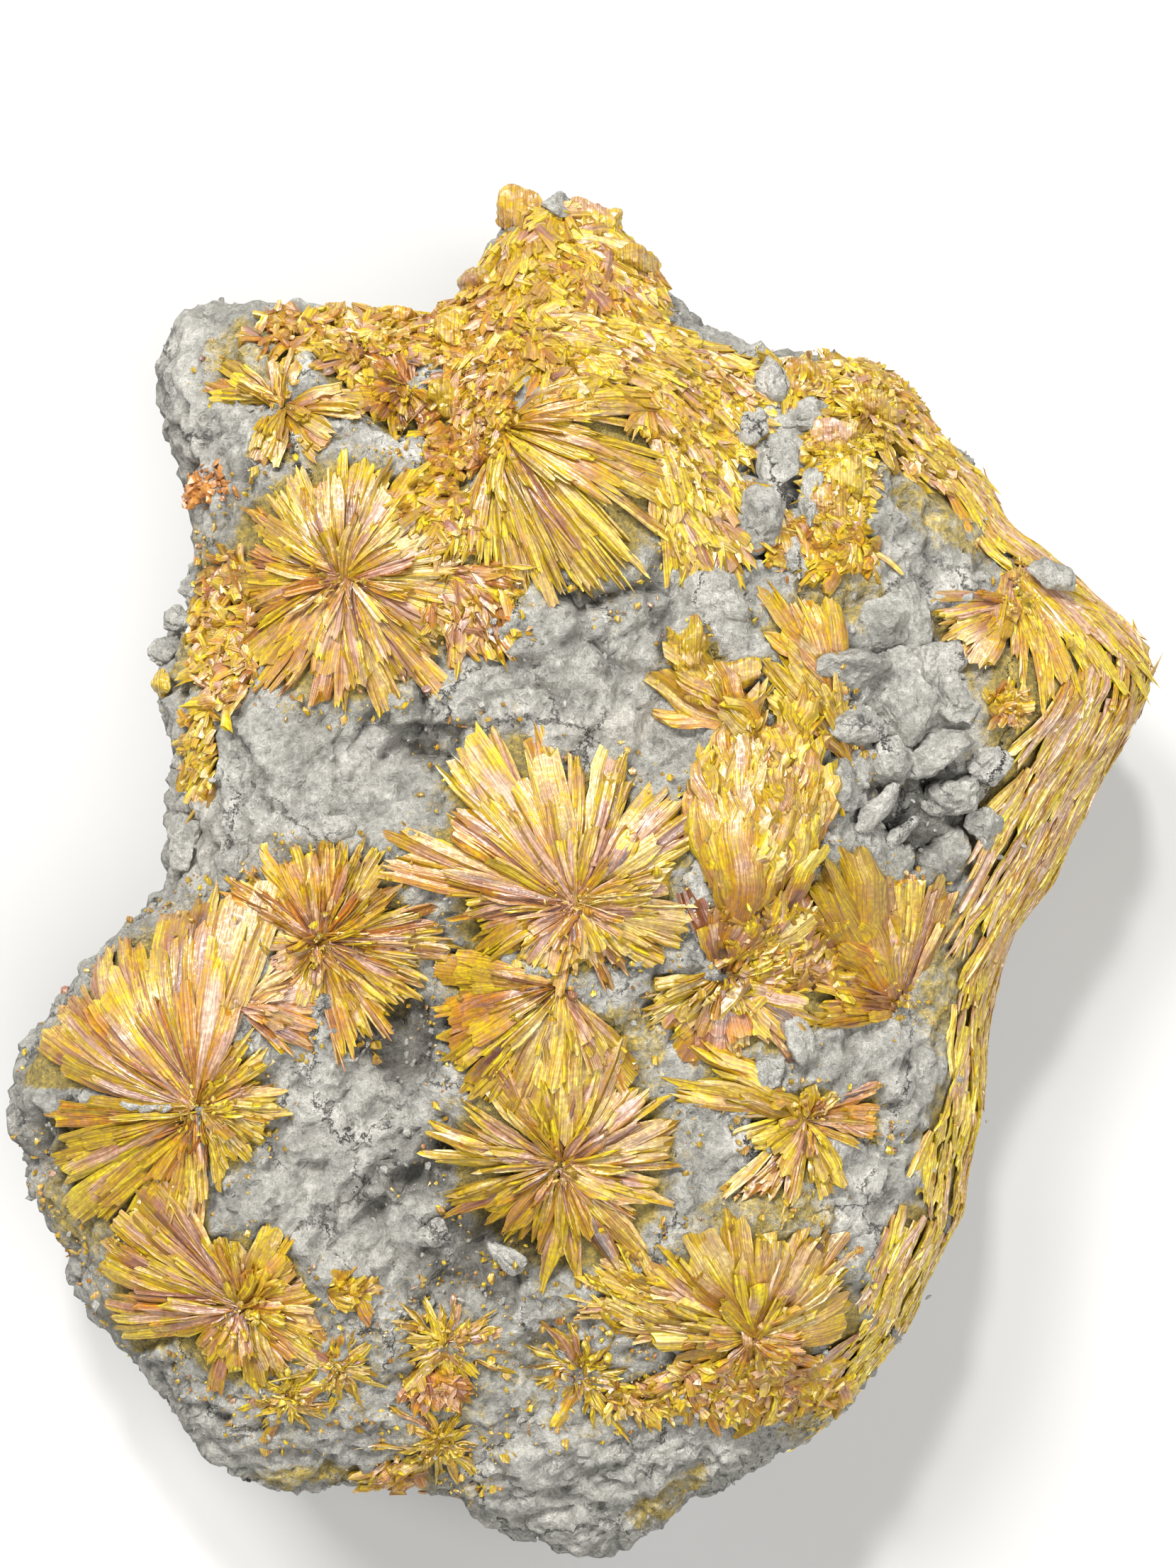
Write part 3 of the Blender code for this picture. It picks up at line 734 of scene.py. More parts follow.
def spot_on_rock(x, y):
    """The place on the guide that is seen at x, y, or the first one inward from there."""
    for inward in np.linspace(1, 0, INWARD_TRIES):
        spot = guide.ray_cast(EYE, sight(x * inward, y * inward))[0]
        if spot is not None:
            return spot
    return None


def walk(start, heading, length):
    """Places and normals of a path over the guide."""
    spot, normal = guide.find_nearest(start)[:2]
    way = heading
    spots = [spot]
    normals = [normal]
    for _ in range(STEPS):
        way = (way - normal * way.dot(normal)).normalized()
        spot, turned = guide.find_nearest(spot + way * (length / STEPS))[:2]
        normal = (normal + turned).normalized()
        spots.append(spot)
        normals.append(normal)
    return spots, normals


print("centre of the stone", spot_on_rock(0, 0))

# %% [markdown]
# ## The shape of the blades
#
# An orpiment blade is a flat leaf made of thinner plates that lie side by side: they step up
# and down across it, and each plate breaks off at its own length, so the tip is ragged. A
# habit holds how one kind of blade differs. Petals, needles and a shell's blades are broad
# near the tip and stand up a little from the rock. The needles have the thickest backs of the
# three and the shell's blades lie flattest. A star's blades narrow towards the tip, a spray's
# are thin and stray from their bearing, and lamellae are tilted and curved. Folds are thick and
# wavy, jumbled bits short and chunky, and fibres lie flush with the rock.


# %% Habits
class Habit(NamedTuple):
    """How blades are shaped and laid.

    Cover is how often the blades of a fan overlap it, nearest the shortest petal's share of
    the reach, and stray and roll are degrees. Sink, lift, step and wave are millimetres,
    thickness is a share of the width, and the rest are shares of the blade.
    """

    cover: float
    nearest: float
    stray: float
    root_sink: float
    tip_lift: float
    roll: float
    taper: float
    ragged: float
    step: float
    thickness: float
    wave: float
    root_share: float
    broadest: float
    tip_share: float


HABITS = {
    "petal": Habit(3.1, 0.72, 3, 0.4, 0.75, 9, 0.02, 0.08, 0.14, 0.07, 0.10, 0.30, 0.84, 0.92),
    "star": Habit(2.2, 0.72, 3, 0.4, 0.8, 12, 0.08, 0.08, 0.12, 0.10, 0.05, 0.30, 0.68, 0.60),
    "spray": Habit(1.1, 0.35, 9, 0.25, 0.20, 7, 0.04, 0.20, 0.06, 0.05, 0.20, 0.50, 0.72, 0.60),
    "needle": Habit(3.4, 0.75, 3, 0.4, 0.75, 11, 0.03, 0.08, 0.13, 0.12, 0.05, 0.50, 0.80, 0.80),
    "shell": Habit(2.9, 0.9, 3, 0.3, 0.55, 6, 0.01, 0.05, 0.14, 0.06, 0.08, 0.20, 0.94, 0.96),
    "lamella": Habit(2.6, 0.7, 3, 0.6, 2.2, 36, 0.10, 0.07, 0.18, 0.16, 0.70, 0.50, 0.70, 0.75),
    "fold": Habit(2.4, 0.7, 3, 0.5, 0.8, 22, 0.02, 0.10, 0.09, 0.34, 0.45, 0.80, 0.60, 0.90),
    "jumble": Habit(1.0, 0.7, 3, 0.3, 0.4, 14, 0.00, 0.22, 0.16, 0.26, 0.10, 0.85, 0.40, 0.88),
    "fibre": Habit(2.6, 0.6, 3, 0.15, 0.10, 3, 0.02, 0.14, 0.06, 0.03, 0.16, 0.70, 0.55, 0.80),
}
print("habits", len(HABITS))


# %% What a laid blade is
class Blade(NamedTuple):
    """A path over the rock with the shape and colour of the blade that follows it."""

    spots: list
    normals: list
    habit: Habit
    width: float
    lift: float
    roll: float
    rose: float
    warm: float
    tone: float


# %% Petals
PETAL_ANGLE = 12.0
PETAL_GAP = 0.14
LONGEST_PETAL = 1.04
WARM_SPREAD = 0.13


class Petals(NamedTuple):
    """A fan's petals, in degrees past its first bearing, and what the blades of each share."""

    edges: np.ndarray
    reach: np.ndarray
    roll: np.ndarray
    rose: np.ndarray
    warm: np.ndarray
    tone: np.ndarray


def petals_of(rng, fan):
    """Parts a fan into petals that differ in width."""
    span = fan.last - fan.first
    count = max(1, round(span / PETAL_ANGLE))
    edges = np.append(0, np.cumsum(rng.uniform(0.5, 1.5, count)))
    return Petals(
        edges=edges * (span / edges[-1]),
        reach=rng.uniform(HABITS[fan.habit].nearest, LONGEST_PETAL, count),
        roll=rng.normal(size=count),
        rose=np.where(rng.uniform(size=count) < fan.rose, rng.uniform(0.6, 1.0, count), 0.0),
        warm=fan.warm + rng.normal(0, WARM_SPREAD, count),
        tone=rng.uniform(size=count),
    )


# %% The blades of a fan
LATH_WIDTH = 1.05
ARC_PLACE = 0.75
WIDEST = 2.0
SHORTEST = 1.0
ROOT_SCATTER = 0.3
ROSY_BLADES = 0.85
PETAL_TONE = 0.55


class Storey(NamedTuple):
    """One layer of a fan: its share of the blades, its height and its share of the reach."""

    share: float
    height: float
    shorter: float


STOREYS = (Storey(0.50, 0.0, 1.0), Storey(0.32, 0.5, 0.78), Storey(0.18, 1.0, 0.52))


def blade_in_petal(rng, fan, storey, petals, along):
    """One blade of a fan, whose bearing is along degrees past the fan's first one."""
    habit = HABITS[fan.habit]
    i = min(int(np.searchsorted(petals.edges, along, side="right")) - 1, len(petals.reach) - 1)
    middle = (petals.edges[i] + petals.edges[i + 1]) / 2
    turn = math.radians(fan.first + middle + (along - middle) * (1 - PETAL_GAP))
    reach = fan.reach * storey.shorter * petals.reach[i] * rng.uniform(0.86, 1.02)
    root = reach * rng.uniform(0.04, 0.22)
    off = rng.normal(0, ROOT_SCATTER, 2)
    start = spot_on_rock(
        fan.x + math.cos(turn) * root + off[0],
        fan.y + math.sin(turn) * root + off[1],
    )
    turn += math.radians(rng.normal(0, habit.stray))
    way = Vector((math.cos(turn), math.sin(turn), 0))
    spots, normals = walk(start, way, max(SHORTEST, reach - root))
    rise = np.clip(storey.height + rng.normal(0, 0.12), 0, 1)
    width = fan.width * storey.shorter * LATH_WIDTH
    return Blade(
        spots,
        normals,
        habit,
        width=width * min(WIDEST, rng.lognormal(0.16, 0.38)),
        lift=habit.tip_lift * (0.15 + 0.85 * rise) * rng.uniform(0.8, 1.15),
        roll=math.radians(habit.roll) * (0.8 * petals.roll[i] + 0.4 * rng.normal()),
        rose=petals.rose[i] if rng.uniform() < ROSY_BLADES else 0.0,
        warm=petals.warm[i] + rng.normal(0, 0.09),
        tone=PETAL_TONE * petals.tone[i] + (1 - PETAL_TONE) * rng.uniform(),
    )


def fan_blades(rng, fan):
    """The blades of one fan, storey by storey: long and low ones first, then short steep ones."""
    span = fan.last - fan.first
    laid = []
    for storey in STOREYS:
        petals = petals_of(rng, fan)
        width = fan.width * storey.shorter * LATH_WIDTH
        arc = math.radians(span) * fan.reach * storey.shorter * ARC_PLACE
        count = max(2, round(HABITS[fan.habit].cover * storey.share * arc / width))
        for i in range(count):
            along = span * (i + rng.uniform()) / count
            laid.append(blade_in_petal(rng, fan, storey, petals, along))
    return laid


# %% Loose blades
FIBRE_WANDER = 0.08


def loose_blade(rng, start, heading, group, habit):
    """One blade by itself, for a thicket or a band."""
    spots, normals = walk(start, heading, group.length * rng.uniform(0.5, 1.2))
    return Blade(
        spots,
        normals,
        habit,
        width=group.width * rng.uniform(0.5, 1.3),
        lift=habit.tip_lift * rng.uniform(0.2, 1.2),
        roll=math.radians(habit.roll) * rng.normal(),
        rose=rng.uniform(0.6, 1.0) if rng.uniform() < group.rose else 0.0,
        warm=group.warm + rng.normal(0, 0.15),
        tone=rng.uniform(0.2, 1.0),
    )


def thicket_blades(rng, spot):
    """Blades scattered over an ellipse, roughly along its flow."""
    laid = []
    for _ in range(spot.count):
        out = math.sqrt(rng.uniform())
        turn = rng.uniform(0, 2 * math.pi)
        x = spot.x + spot.half_x * out * math.cos(turn)
        y = spot.y + spot.half_y * out * math.sin(turn)
        bearing = math.radians(rng.normal(spot.flow, spot.spread))
        way = Vector((math.cos(bearing), math.sin(bearing), 0))
        laid.append(loose_blade(rng, spot_on_rock(x, y), way, spot, HABITS[spot.habit]))
    return laid


def band_blades(rng, band):
    """Fibrous blades that run along a line of places on the rim or wall."""
    line = [Vector(p) for p in band.line]
    laid = []
    for _ in range(band.count):
        along = rng.uniform() * (len(line) - 1)
        i = int(along)
        way = line[i + 1] - line[i]
        out = Vector((line[i].x, line[i].y, 0)).normalized()
        start = line[i].lerp(line[i + 1], along - i) + out * band.breadth * rng.uniform(-1, 0.3)
        start.z += band.fall * (0.5 - rng.uniform() * 1.6)
        heading = (way.normalized() + Vector(rng.normal(0, FIBRE_WANDER, 3))).normalized()
        if rng.uniform() < 0.5:
            heading.negate()
        laid.append(loose_blade(rng, start, heading, band, HABITS["fibre"]))
    return laid


trial = fan_blades(np.random.default_rng(1), FANS["right_star"][0])
print("blades in one sector", len(trial))

# %% [markdown]
# ## Building the blades
#
# All the blades of a kind are built at once with arrays. Each has the same rings of points,
# some over its plated top and one below, so its faces follow a fixed pattern. Beside the
# points, each vertex keeps its share of rose and warmth, its plate's tone, and its place on
# the blade in millimetres, which the striations of the material follow.

# %% The pattern of one blade
class Pattern(NamedTuple):
    """Where a blade's rings stand along it, the points over each ring, and its plates."""

    rings: np.ndarray
    top_points: int
    plates: int


FINE = Pattern(np.linspace(0, 1, 7), 8, 4)
PLAIN = Pattern(np.linspace(0, 1, 4), 5, 3)


def unit(vectors):
    """Vectors of length 1."""
    return vectors / np.maximum(np.linalg.norm(vectors, axis=-1, keepdims=True), 1e-9)


def between(paths, along):
    """Paths read at shares of their length."""
    at = along * STEPS
    low = np.minimum(at.astype(int), STEPS - 1)
    part = (at - low)[None, :, None]
    return paths[:, low] * (1 - part) + paths[:, low + 1] * part


def ring_faces(pattern):
    """Faces of one blade: quads round its rings, and a fan of triangles at each end."""
    ring = pattern.top_points + 1
    quads = []
    for k in range(len(pattern.rings) - 1):
        for j in range(ring):
            turn = (j + 1) % ring
            quads.append((k * ring + j, (k + 1) * ring + j, (k + 1) * ring + turn, k * ring + turn))
    last = (len(pattern.rings) - 1) * ring
    ends = []
    for j in range(pattern.top_points - 1):
        ends.append((j, j + 1, ring - 1))
        ends.append((last + j + 1, last + j, last + ring - 1))
    return np.array(quads), np.array(ends)


print("faces of a fine blade", [len(found) for found in ring_faces(FINE)])

# %% Colours along and across a blade
FLUSH_LIFT = 0.15


def each(values):
    """One value a blade, to spread over its rings and its points."""
    return np.array(values)[:, None, None]


def blade_colours(laid, along, across, by_plate, rng):
    """Rose, warmth and tone of many blades, for every ring and point.

    Rose lies in a core that is off the middle and fades towards the tip, and it goes further
    on blades that lie flush. Roots are warmer and darker than tips: that is painted warm shade
    near the centre, where blades crowd and lie under others.
    """
    flush = each([blade.habit.tip_lift < FLUSH_LIFT for blade in laid])
    off = rng.normal(0, 0.3, (len(laid), 1, 1))
    core = np.clip(1.1 - 1.2 * np.abs(across - off) ** 1.5, 0, 1)
    rose = each([blade.rose for blade in laid]) * core * np.clip(0.85 + by_plate(0.25), 0, 1.2)
    rose = rose * (1 - np.where(flush, 0.3, 0.85) * eased(along + by_plate(0.06), 0.66, 0.98))
    warm = each([blade.warm for blade in laid]) - 0.03 + by_plate(0.08)
    # Painted warm shade: warmer towards the root; the tips turn lemon
    warm = warm + 0.18 * (1 - along) ** 2 - 0.12 * eased(along, 0.7, 1.0)
    tone = each([blade.tone for blade in laid]) - 0.6 + by_plate(0.16)
    # Painted shade: darker towards the root
    tone = np.where(flush, 0.92, 0.64) + np.where(flush, 0.4, 0.95) * tone - 0.18 * (1 - along) ** 2
    return rose, np.clip(warm, 0, 1), np.clip(tone, 0, 1)


# %% Turn laid blades into points and faces
UNEVEN = 0.035
GIRTH_SPREAD = 0.07
UNDERSIDE = 0.3
UNDULATION = (1.0, 2.6)
GRAIN_SHIFT = 60


class Bodies(NamedTuple):
    """Many blades as arrays: points, faces, and what colours them."""

    points: np.ndarray
    faces: list
    blush: np.ndarray
    warmth: np.ndarray
    tone: np.ndarray
    places: np.ndarray


def bodies_of(laid, pattern, rng):
    """Shapes many blades at once."""
    steps, top_points, plates = pattern
    count = len(laid)
    spots = between(np.array([[tuple(s) for s in blade.spots] for blade in laid]), steps)
    normals = unit(between(np.array([[tuple(n) for n in blade.normals] for blade in laid]), steps))
    onward = unit(np.gradient(spots, axis=1))
    normals = unit(normals - onward * (normals * onward).sum(axis=2, keepdims=True))
    sideways = np.cross(normals, onward)
    roll = each([blade.roll for blade in laid])
    lift = each([blade.lift for blade in laid])
    habit = {key: each([getattr(blade.habit, key) for blade in laid]) for key in Habit._fields}
    along = steps[None, :, None]
    across = np.linspace(-1, 1, top_points)[None, None, :]

    # Which plate each point belongs to, and a random number for every plate
    cuts = np.sort(rng.uniform(-0.8, 0.8, (count, plates - 1)), axis=1)
    plate = (across[0] > cuts[:, :, None]).sum(axis=1)

    def by_plate(spread):
        return np.take_along_axis(rng.normal(0, spread, (count, plates)), plate, axis=1)[:, None, :]

    # How broad each ring is
    growing = np.sin(np.pi / 2 * np.clip(along / habit["broadest"], 0, 1))
    ending = eased(along, habit["broadest"], 1.0)
    girth = each([blade.width for blade in laid])
    girth = girth * (habit["root_share"] + (1 - habit["root_share"]) * growing)
    girth = girth * (1 - (1 - habit["tip_share"]) * ending)
    girth = girth * (1 + GIRTH_SPREAD * rng.normal(size=(count, len(steps), 1)))

    # The middle line: sunk at the root, lifted at the tip, swaying from side to side
    length = np.linalg.norm(spots[:, -1] - spots[:, 0], axis=1)[:, None, None]
    bend = rng.normal(0, 0.3, (count, 1, 1))
    sway = np.sin(np.pi * along * rng.uniform(*UNDULATION, (count, 1, 1)) + bend * 6)
    height = lift * along**0.8 + bend * 0.5 * lift * along**2 - habit["root_sink"] * (1 - along) ** 2
    centre = spots + normals * height + sideways * habit["wave"] * sway * along

    # The plated top with its torn end, and one point below each ring
    across_way = sideways * np.cos(roll) + normals * np.sin(roll)
    up_way = normals * np.cos(roll) - sideways * np.sin(roll)
    arch = (1 - np.abs(across) ** 2) * habit["thickness"] * girth
    stepped = by_plate(1) * habit["step"] * (0.3 + 0.7 * along)
    ribs = rng.normal(size=(count, 1, top_points))
    bumps = rng.normal(size=(count, len(steps), top_points))
    torn = by_plate(1) + 0.4 * rng.normal(size=(count, 1, top_points))
    reach = (habit["ragged"] * torn - habit["taper"] * across**2) * length * along**3
    top = (
        centre[:, :, None, :]
        + across_way[:, :, None, :] * (across * girth / 2)[..., None]
        + up_way[:, :, None, :] * (arch + stepped + UNEVEN * (ribs + bumps))[..., None]
        + onward[:, :, None, :] * reach[..., None]
    )
    under = centre - up_way * (UNDERSIDE + habit["thickness"] * girth)
    points = np.concatenate([top, under[:, :, None, :]], axis=2)

    quads, ends = ring_faces(pattern)
    first = (np.arange(count) * len(steps) * (top_points + 1))[:, None, None]
    faces = (quads[None] + first).reshape(-1, 4).tolist() + (ends[None] + first).reshape(-1, 3).tolist()

    def round_ring(values):
        """Spreads values over every ring, and gives the point below the middle one's."""
        full = np.broadcast_to(values, (count, len(steps), top_points))
        return np.concatenate([full, full[:, :, top_points // 2 : top_points // 2 + 1]], axis=2)

    colours = blade_colours(laid, along, across, by_plate, rng)
    shift = rng.uniform(0, GRAIN_SHIFT, (count, 1, 1))
    wide = round_ring(across * girth / 2 + shift)
    far = round_ring(along * length + shift)
    return Bodies(
        points.reshape(-1, 3),
        faces,
        *(round_ring(values).ravel() for values in colours),
        np.stack([wide, far], axis=-1).reshape(-1, 2),
    )


# %% Make pieces
SHARP_ANGLE = 26


def new_piece(name, points, faces, material):
    """A mesh object from millimetre points, smooth but for its sharp edges."""
    mesh = bpy.data.meshes.new(name)
    mesh.from_pydata((points * MM).tolist(), [], faces)
    mesh.shade_smooth()
    mesh.set_sharp_from_angle(angle=math.radians(SHARP_ANGLE))
    mesh.materials.append(material)
    made = bpy.data.objects.new(name, mesh)
    bpy.context.scene.collection.objects.link(made)
    return made


def keep_grain(mesh, places):
    """A UV map in millimetres across and along each blade."""
    corners = np.empty(len(mesh.loops), np.int32)
    mesh.loops.foreach_get("vertex_index", corners)
    grain = mesh.uv_layers.new(name="grain")
    grain.uv.foreach_set("vector", places[corners].astype(np.float32).ravel())


def grow(name, fine, plain, material, rng):
    """One piece from its fine blades and its plain ones."""
    parts = [bodies_of(laid, pattern, rng) for laid, pattern in ((fine, FINE), (plain, PLAIN)) if laid]
    faces = []
    first = 0
    for part in parts:
        faces += [tuple(i + first for i in face) for face in part.faces]
        first += len(part.points)
    piece = new_piece(name, np.concatenate([part.points for part in parts]), faces, material)
    for share in ("blush", "warmth", "tone"):
        keep_share(piece.data, share, np.concatenate([getattr(part, share) for part in parts]))
    keep_grain(piece.data, np.concatenate([part.places for part in parts]))
    return piece


def keep_bits(mesh, blush, warmth, tone):
    """What colours loose bits of orpiment: one of each number a bit, and a grain by place."""
    points = len(mesh.vertices) // len(blush)
    keep_share(mesh, "blush", np.repeat(blush, points))
    keep_share(mesh, "warmth", np.repeat(warmth, points))
    keep_share(mesh, "tone", np.repeat(tone, points))
    keep_grain(mesh, points_of(mesh)[0][:, :2])


print("points of a fine blade", len(FINE.rings) * (FINE.top_points + 1))

# %% [markdown]
# ## Materials
#
# Colours are sRGB hex values, turned to linear by one function. One more function adds a
# node, sets what is given and links the rest.


# %% Colour and node helpers
def linear(colour):
    """An sRGB hex colour as linear RGBA."""
    parts = [int(colour[i : i + 2], 16) / 255 for i in (1, 3, 5)]
    return (*(p / 12.92 if p <= 0.04045 else ((p + 0.055) / 1.055) ** 2.4 for p in parts), 1.0)


def add(tree, kind, inputs=None, stops=None, **settings):
    """Adds a node: inputs are values or sockets to link, stops are a ramp's colours."""
    node = tree.nodes.new(f"ShaderNode{kind}")
    for name, value in settings.items():
        setattr(node, name, value)
    for name, value in (inputs or {}).items():
        if isinstance(value, bpy.types.NodeSocket):
            tree.links.new(value, node.inputs[name])
        else:
            node.inputs[name].default_value = value
    if stops:
        ramp = node.color_ramp
        while len(ramp.elements) < len(stops):
            ramp.elements.new(0.5)
        for element, (place, colour) in zip(ramp.elements, stops):
            element.position = place
            element.color = linear(colour)
    return node


def start_material(name):
    """A material with its tree and its shader."""
    made = bpy.data.materials.new(name)
    made.use_nodes = True
    return made, made.node_tree, made.node_tree.nodes["Principled BSDF"]


def per_mm(size):
    """A texture scale on metre coordinates, for features of a size in millimetres."""
    return 1 / (size * MM)


def product(tree, factors):
    """Multiplies factors, each a value, its low and high, and what they are turned into."""
    found = 1.0
    for value, low, high, dark, light in factors:
        ends = {"Value": value, "From Min": low, "From Max": high, "To Min": dark, "To Max": light}
        factor = add(tree, "MapRange", ends).outputs[0]
        found = add(tree, "Math", {0: found, 1: factor}, operation="MULTIPLY").outputs[0]
    return found


# Mix nodes name their colour sockets alike, so they are reached by number
MIX_A = 6
MIX_B = 7
MIX_OUT = 2

# %% [markdown]
# ### Orpiment blades
#
# Orpiment is lemon yellow to golden, and weathers to orange and a brownish rose. Cleavage
# faces are pearly, so light slides along the striations in pale streaks. Its refractive index
# is above 2.4. These blades are dusty, so the shader's is lower, and only small clean spots
# are smooth enough to glint. Real striations are finer than a pixel: these are drawn 0.13 mm
# apart, as coarse as they need to be to show.

# %% Orpiment's colours and sizes
LEMON = "#EAD628"
YELLOW = "#E4C322"
GOLDEN = "#DBA61E"
ORANGE = "#D58E26"
AMBER = "#AC6224"
ROSE = "#D29C80"
PALE_ROSE = "#E6C4A8"
MAUVE = "#B0725A"
BROWN = "#5A2C1E"
VEIL = "#DCCDA2"
# WARM_SHADE is the warm tint of the painted shade on the blades
WARM_SHADE = "#FFD2B0"
WHITE = "#FFFFFF"
STRIA_ACROSS = 0.13
STRIA_ALONG = 3.0
STRIA_DEPTH = 0.10
CLOUDS = 1.6
SPECKS = 0.35
SPECK_DEPTH = 0.05
DUSTY_IOR = 2.0


# %% Orpiment
def orpiment_material():
    """Yellow by warmth, rose where the blush and the striations meet, veiled, and streaked with painted
    shade and light.
    """
    material, tree, shader = start_material("orpiment_pearly_blades")
    blush = add(tree, "Attribute", attribute_name="blush").outputs["Fac"]
    warmth = add(tree, "Attribute", attribute_name="warmth").outputs["Fac"]
    tone = add(tree, "Attribute", attribute_name="tone").outputs["Fac"]
    grain = add(tree, "UVMap", uv_map="grain").outputs[0]
    spot = add(tree, "TexCoord").outputs["Object"]
    stretch = (1 / STRIA_ACROSS, 1 / STRIA_ALONG, 1)
    stretched = add(tree, "Mapping", {"Vector": grain, "Scale": stretch}).outputs[0]
    stria = add(tree, "TexNoise", {"Vector": stretched, "Scale": 1.0, "Detail": 3.0, "Roughness": 0.6})
    stria = stria.outputs["Fac"]
    cloud = add(tree, "TexNoise", {"Vector": spot, "Scale": per_mm(CLOUDS), "Detail": 4.0}).outputs["Fac"]
    speck = add(tree, "TexNoise", {"Vector": spot, "Scale": per_mm(SPECKS), "Detail": 2.0}).outputs["Fac"]

    # The body colour: yellow and rose, each by its own share
    drift = add(tree, "Math", {0: cloud, 1: 0.5}, operation="SUBTRACT").outputs[0]
    warmer = add(tree, "Math", {0: drift, 1: 1.3, 2: warmth}, operation="MULTIPLY_ADD").outputs[0]
    yellow = add(
        tree,
        "ValToRGB",
        {"Fac": warmer},
        stops=((0.05, LEMON), (0.28, YELLOW), (0.52, GOLDEN), (0.75, ORANGE), (1.0, AMBER)),
    ).outputs[0]
    rosy = add(
        tree,
        "ValToRGB",
        {"Fac": tone},
        stops=((0.0, BROWN), (0.22, MAUVE), (0.55, ROSE), (1.0, PALE_ROSE)),
    ).outputs[0]
    patchy = add(tree, "Math", {0: drift, 1: 1.1, 2: blush}, operation="MULTIPLY_ADD").outputs[0]
    streaky = add(tree, "Math", {0: stria, 1: 0.9, 2: patchy}, operation="MULTIPLY_ADD").outputs[0]
    blushed = add(tree, "MapRange", {"Value": streaky, "From Min": 0.62, "From Max": 0.96}).outputs[0]
    body = add(tree, "Mix", {0: blushed, MIX_A: yellow, MIX_B: rosy}, data_type="RGBA").outputs[MIX_OUT]

    # A pale pearly veil over some of it
    pale = add(tree, "Math", {0: blush, 1: 0.16, 2: cloud}, operation="MULTIPLY_ADD").outputs[0]
    veiled = add(tree, "MapRange", {"Value": pale, "From Min": 0.52, "From Max": 0.84, "To Max": 0.50})
    body = add(
        tree,
        "Mix",
        {0: veiled.outputs[0], MIX_A: body, MIX_B: linear(VEIL)},
        data_type="RGBA",
    ).outputs[MIX_OUT]

    # Painted shade and light: darker in the striations' grooves and lighter on their ridges, mottled by
    # speck, darker by each blade's tone, which also holds the painted shade at the roots; the darker, the
    # warmer the painted shade
    by_stria = (stria, 0.34, 0.66, 0.44, 1.10)
    by_speck = (speck, 0.3, 0.7, 0.72, 1.16)
    by_blade = (tone, 0, 1, 0.52, 0.98)
    shade = product(tree, (by_stria, by_speck, by_blade))
    painted_warm_shade = add(tree, "ValToRGB", {"Fac": shade}, stops=((0.25, WARM_SHADE), (0.90, WHITE))).outputs[0]
    colour = add(tree, "VectorMath", {0: body, 1: painted_warm_shade}, operation="MULTIPLY").outputs[0]
    colour = add(tree, "VectorMath", {0: colour, "Scale": shade}, operation="SCALE").outputs[0]
    tree.links.new(colour, shader.inputs["Base Color"])

    # Smooth along the striations, and smoothest in small clean spots
    roughness = product(tree, ((stria, 0.34, 0.66, 0.62, 0.30), (speck, 0.48, 0.62, 1.0, 0.50)))
    tree.links.new(roughness, shader.inputs["Roughness"])
    grooves = add(tree, "Bump", {"Height": stria, "Distance": STRIA_DEPTH * MM, "Strength": 0.8}).outputs[0]
    pitted = add(
        tree,
        "Bump",
        {"Height": speck, "Distance": SPECK_DEPTH * MM, "Strength": 0.5, "Normal": grooves},
    ).outputs[0]
    tree.links.new(pitted, shader.inputs["Normal"])
    shader.inputs["IOR"].default_value = DUSTY_IOR
    return material


orpiment = orpiment_material()
print(orpiment.name, "nodes", len(orpiment.node_tree.nodes))

# %% [markdown]
# ### Clayey matrix
#
# The rock is a soft, fine-grained clay stone. It is dull everywhere, a cool grey with lighter
# bruises, dusted yellow where orpiment crumbled over it and white where lime dried.

# %% The matrix's colours and sizes
CLAY_DARK = "#AFACA2"
CLAY = "#CCC9BF"
CLAY_LIGHT = "#DEDAD0"
CRACK = "#4A4742"
LIME = "#D9D3C6"
DUST = "#BBA660"
DUST_BRIGHT = "#E2C24C"
SHADOW = "#40392E"
BRUISES = 7.0
CREVICES = 2.4
MOTTLES = 1.1
GRIT = 0.5
CRACK_SPACING = 8.0
CRACK_BEND = 5.0
CREVICE_DEPTH = 1.3
FINE_CRACK_DEPTH = 0.5
GRIT_DEPTH = 0.30


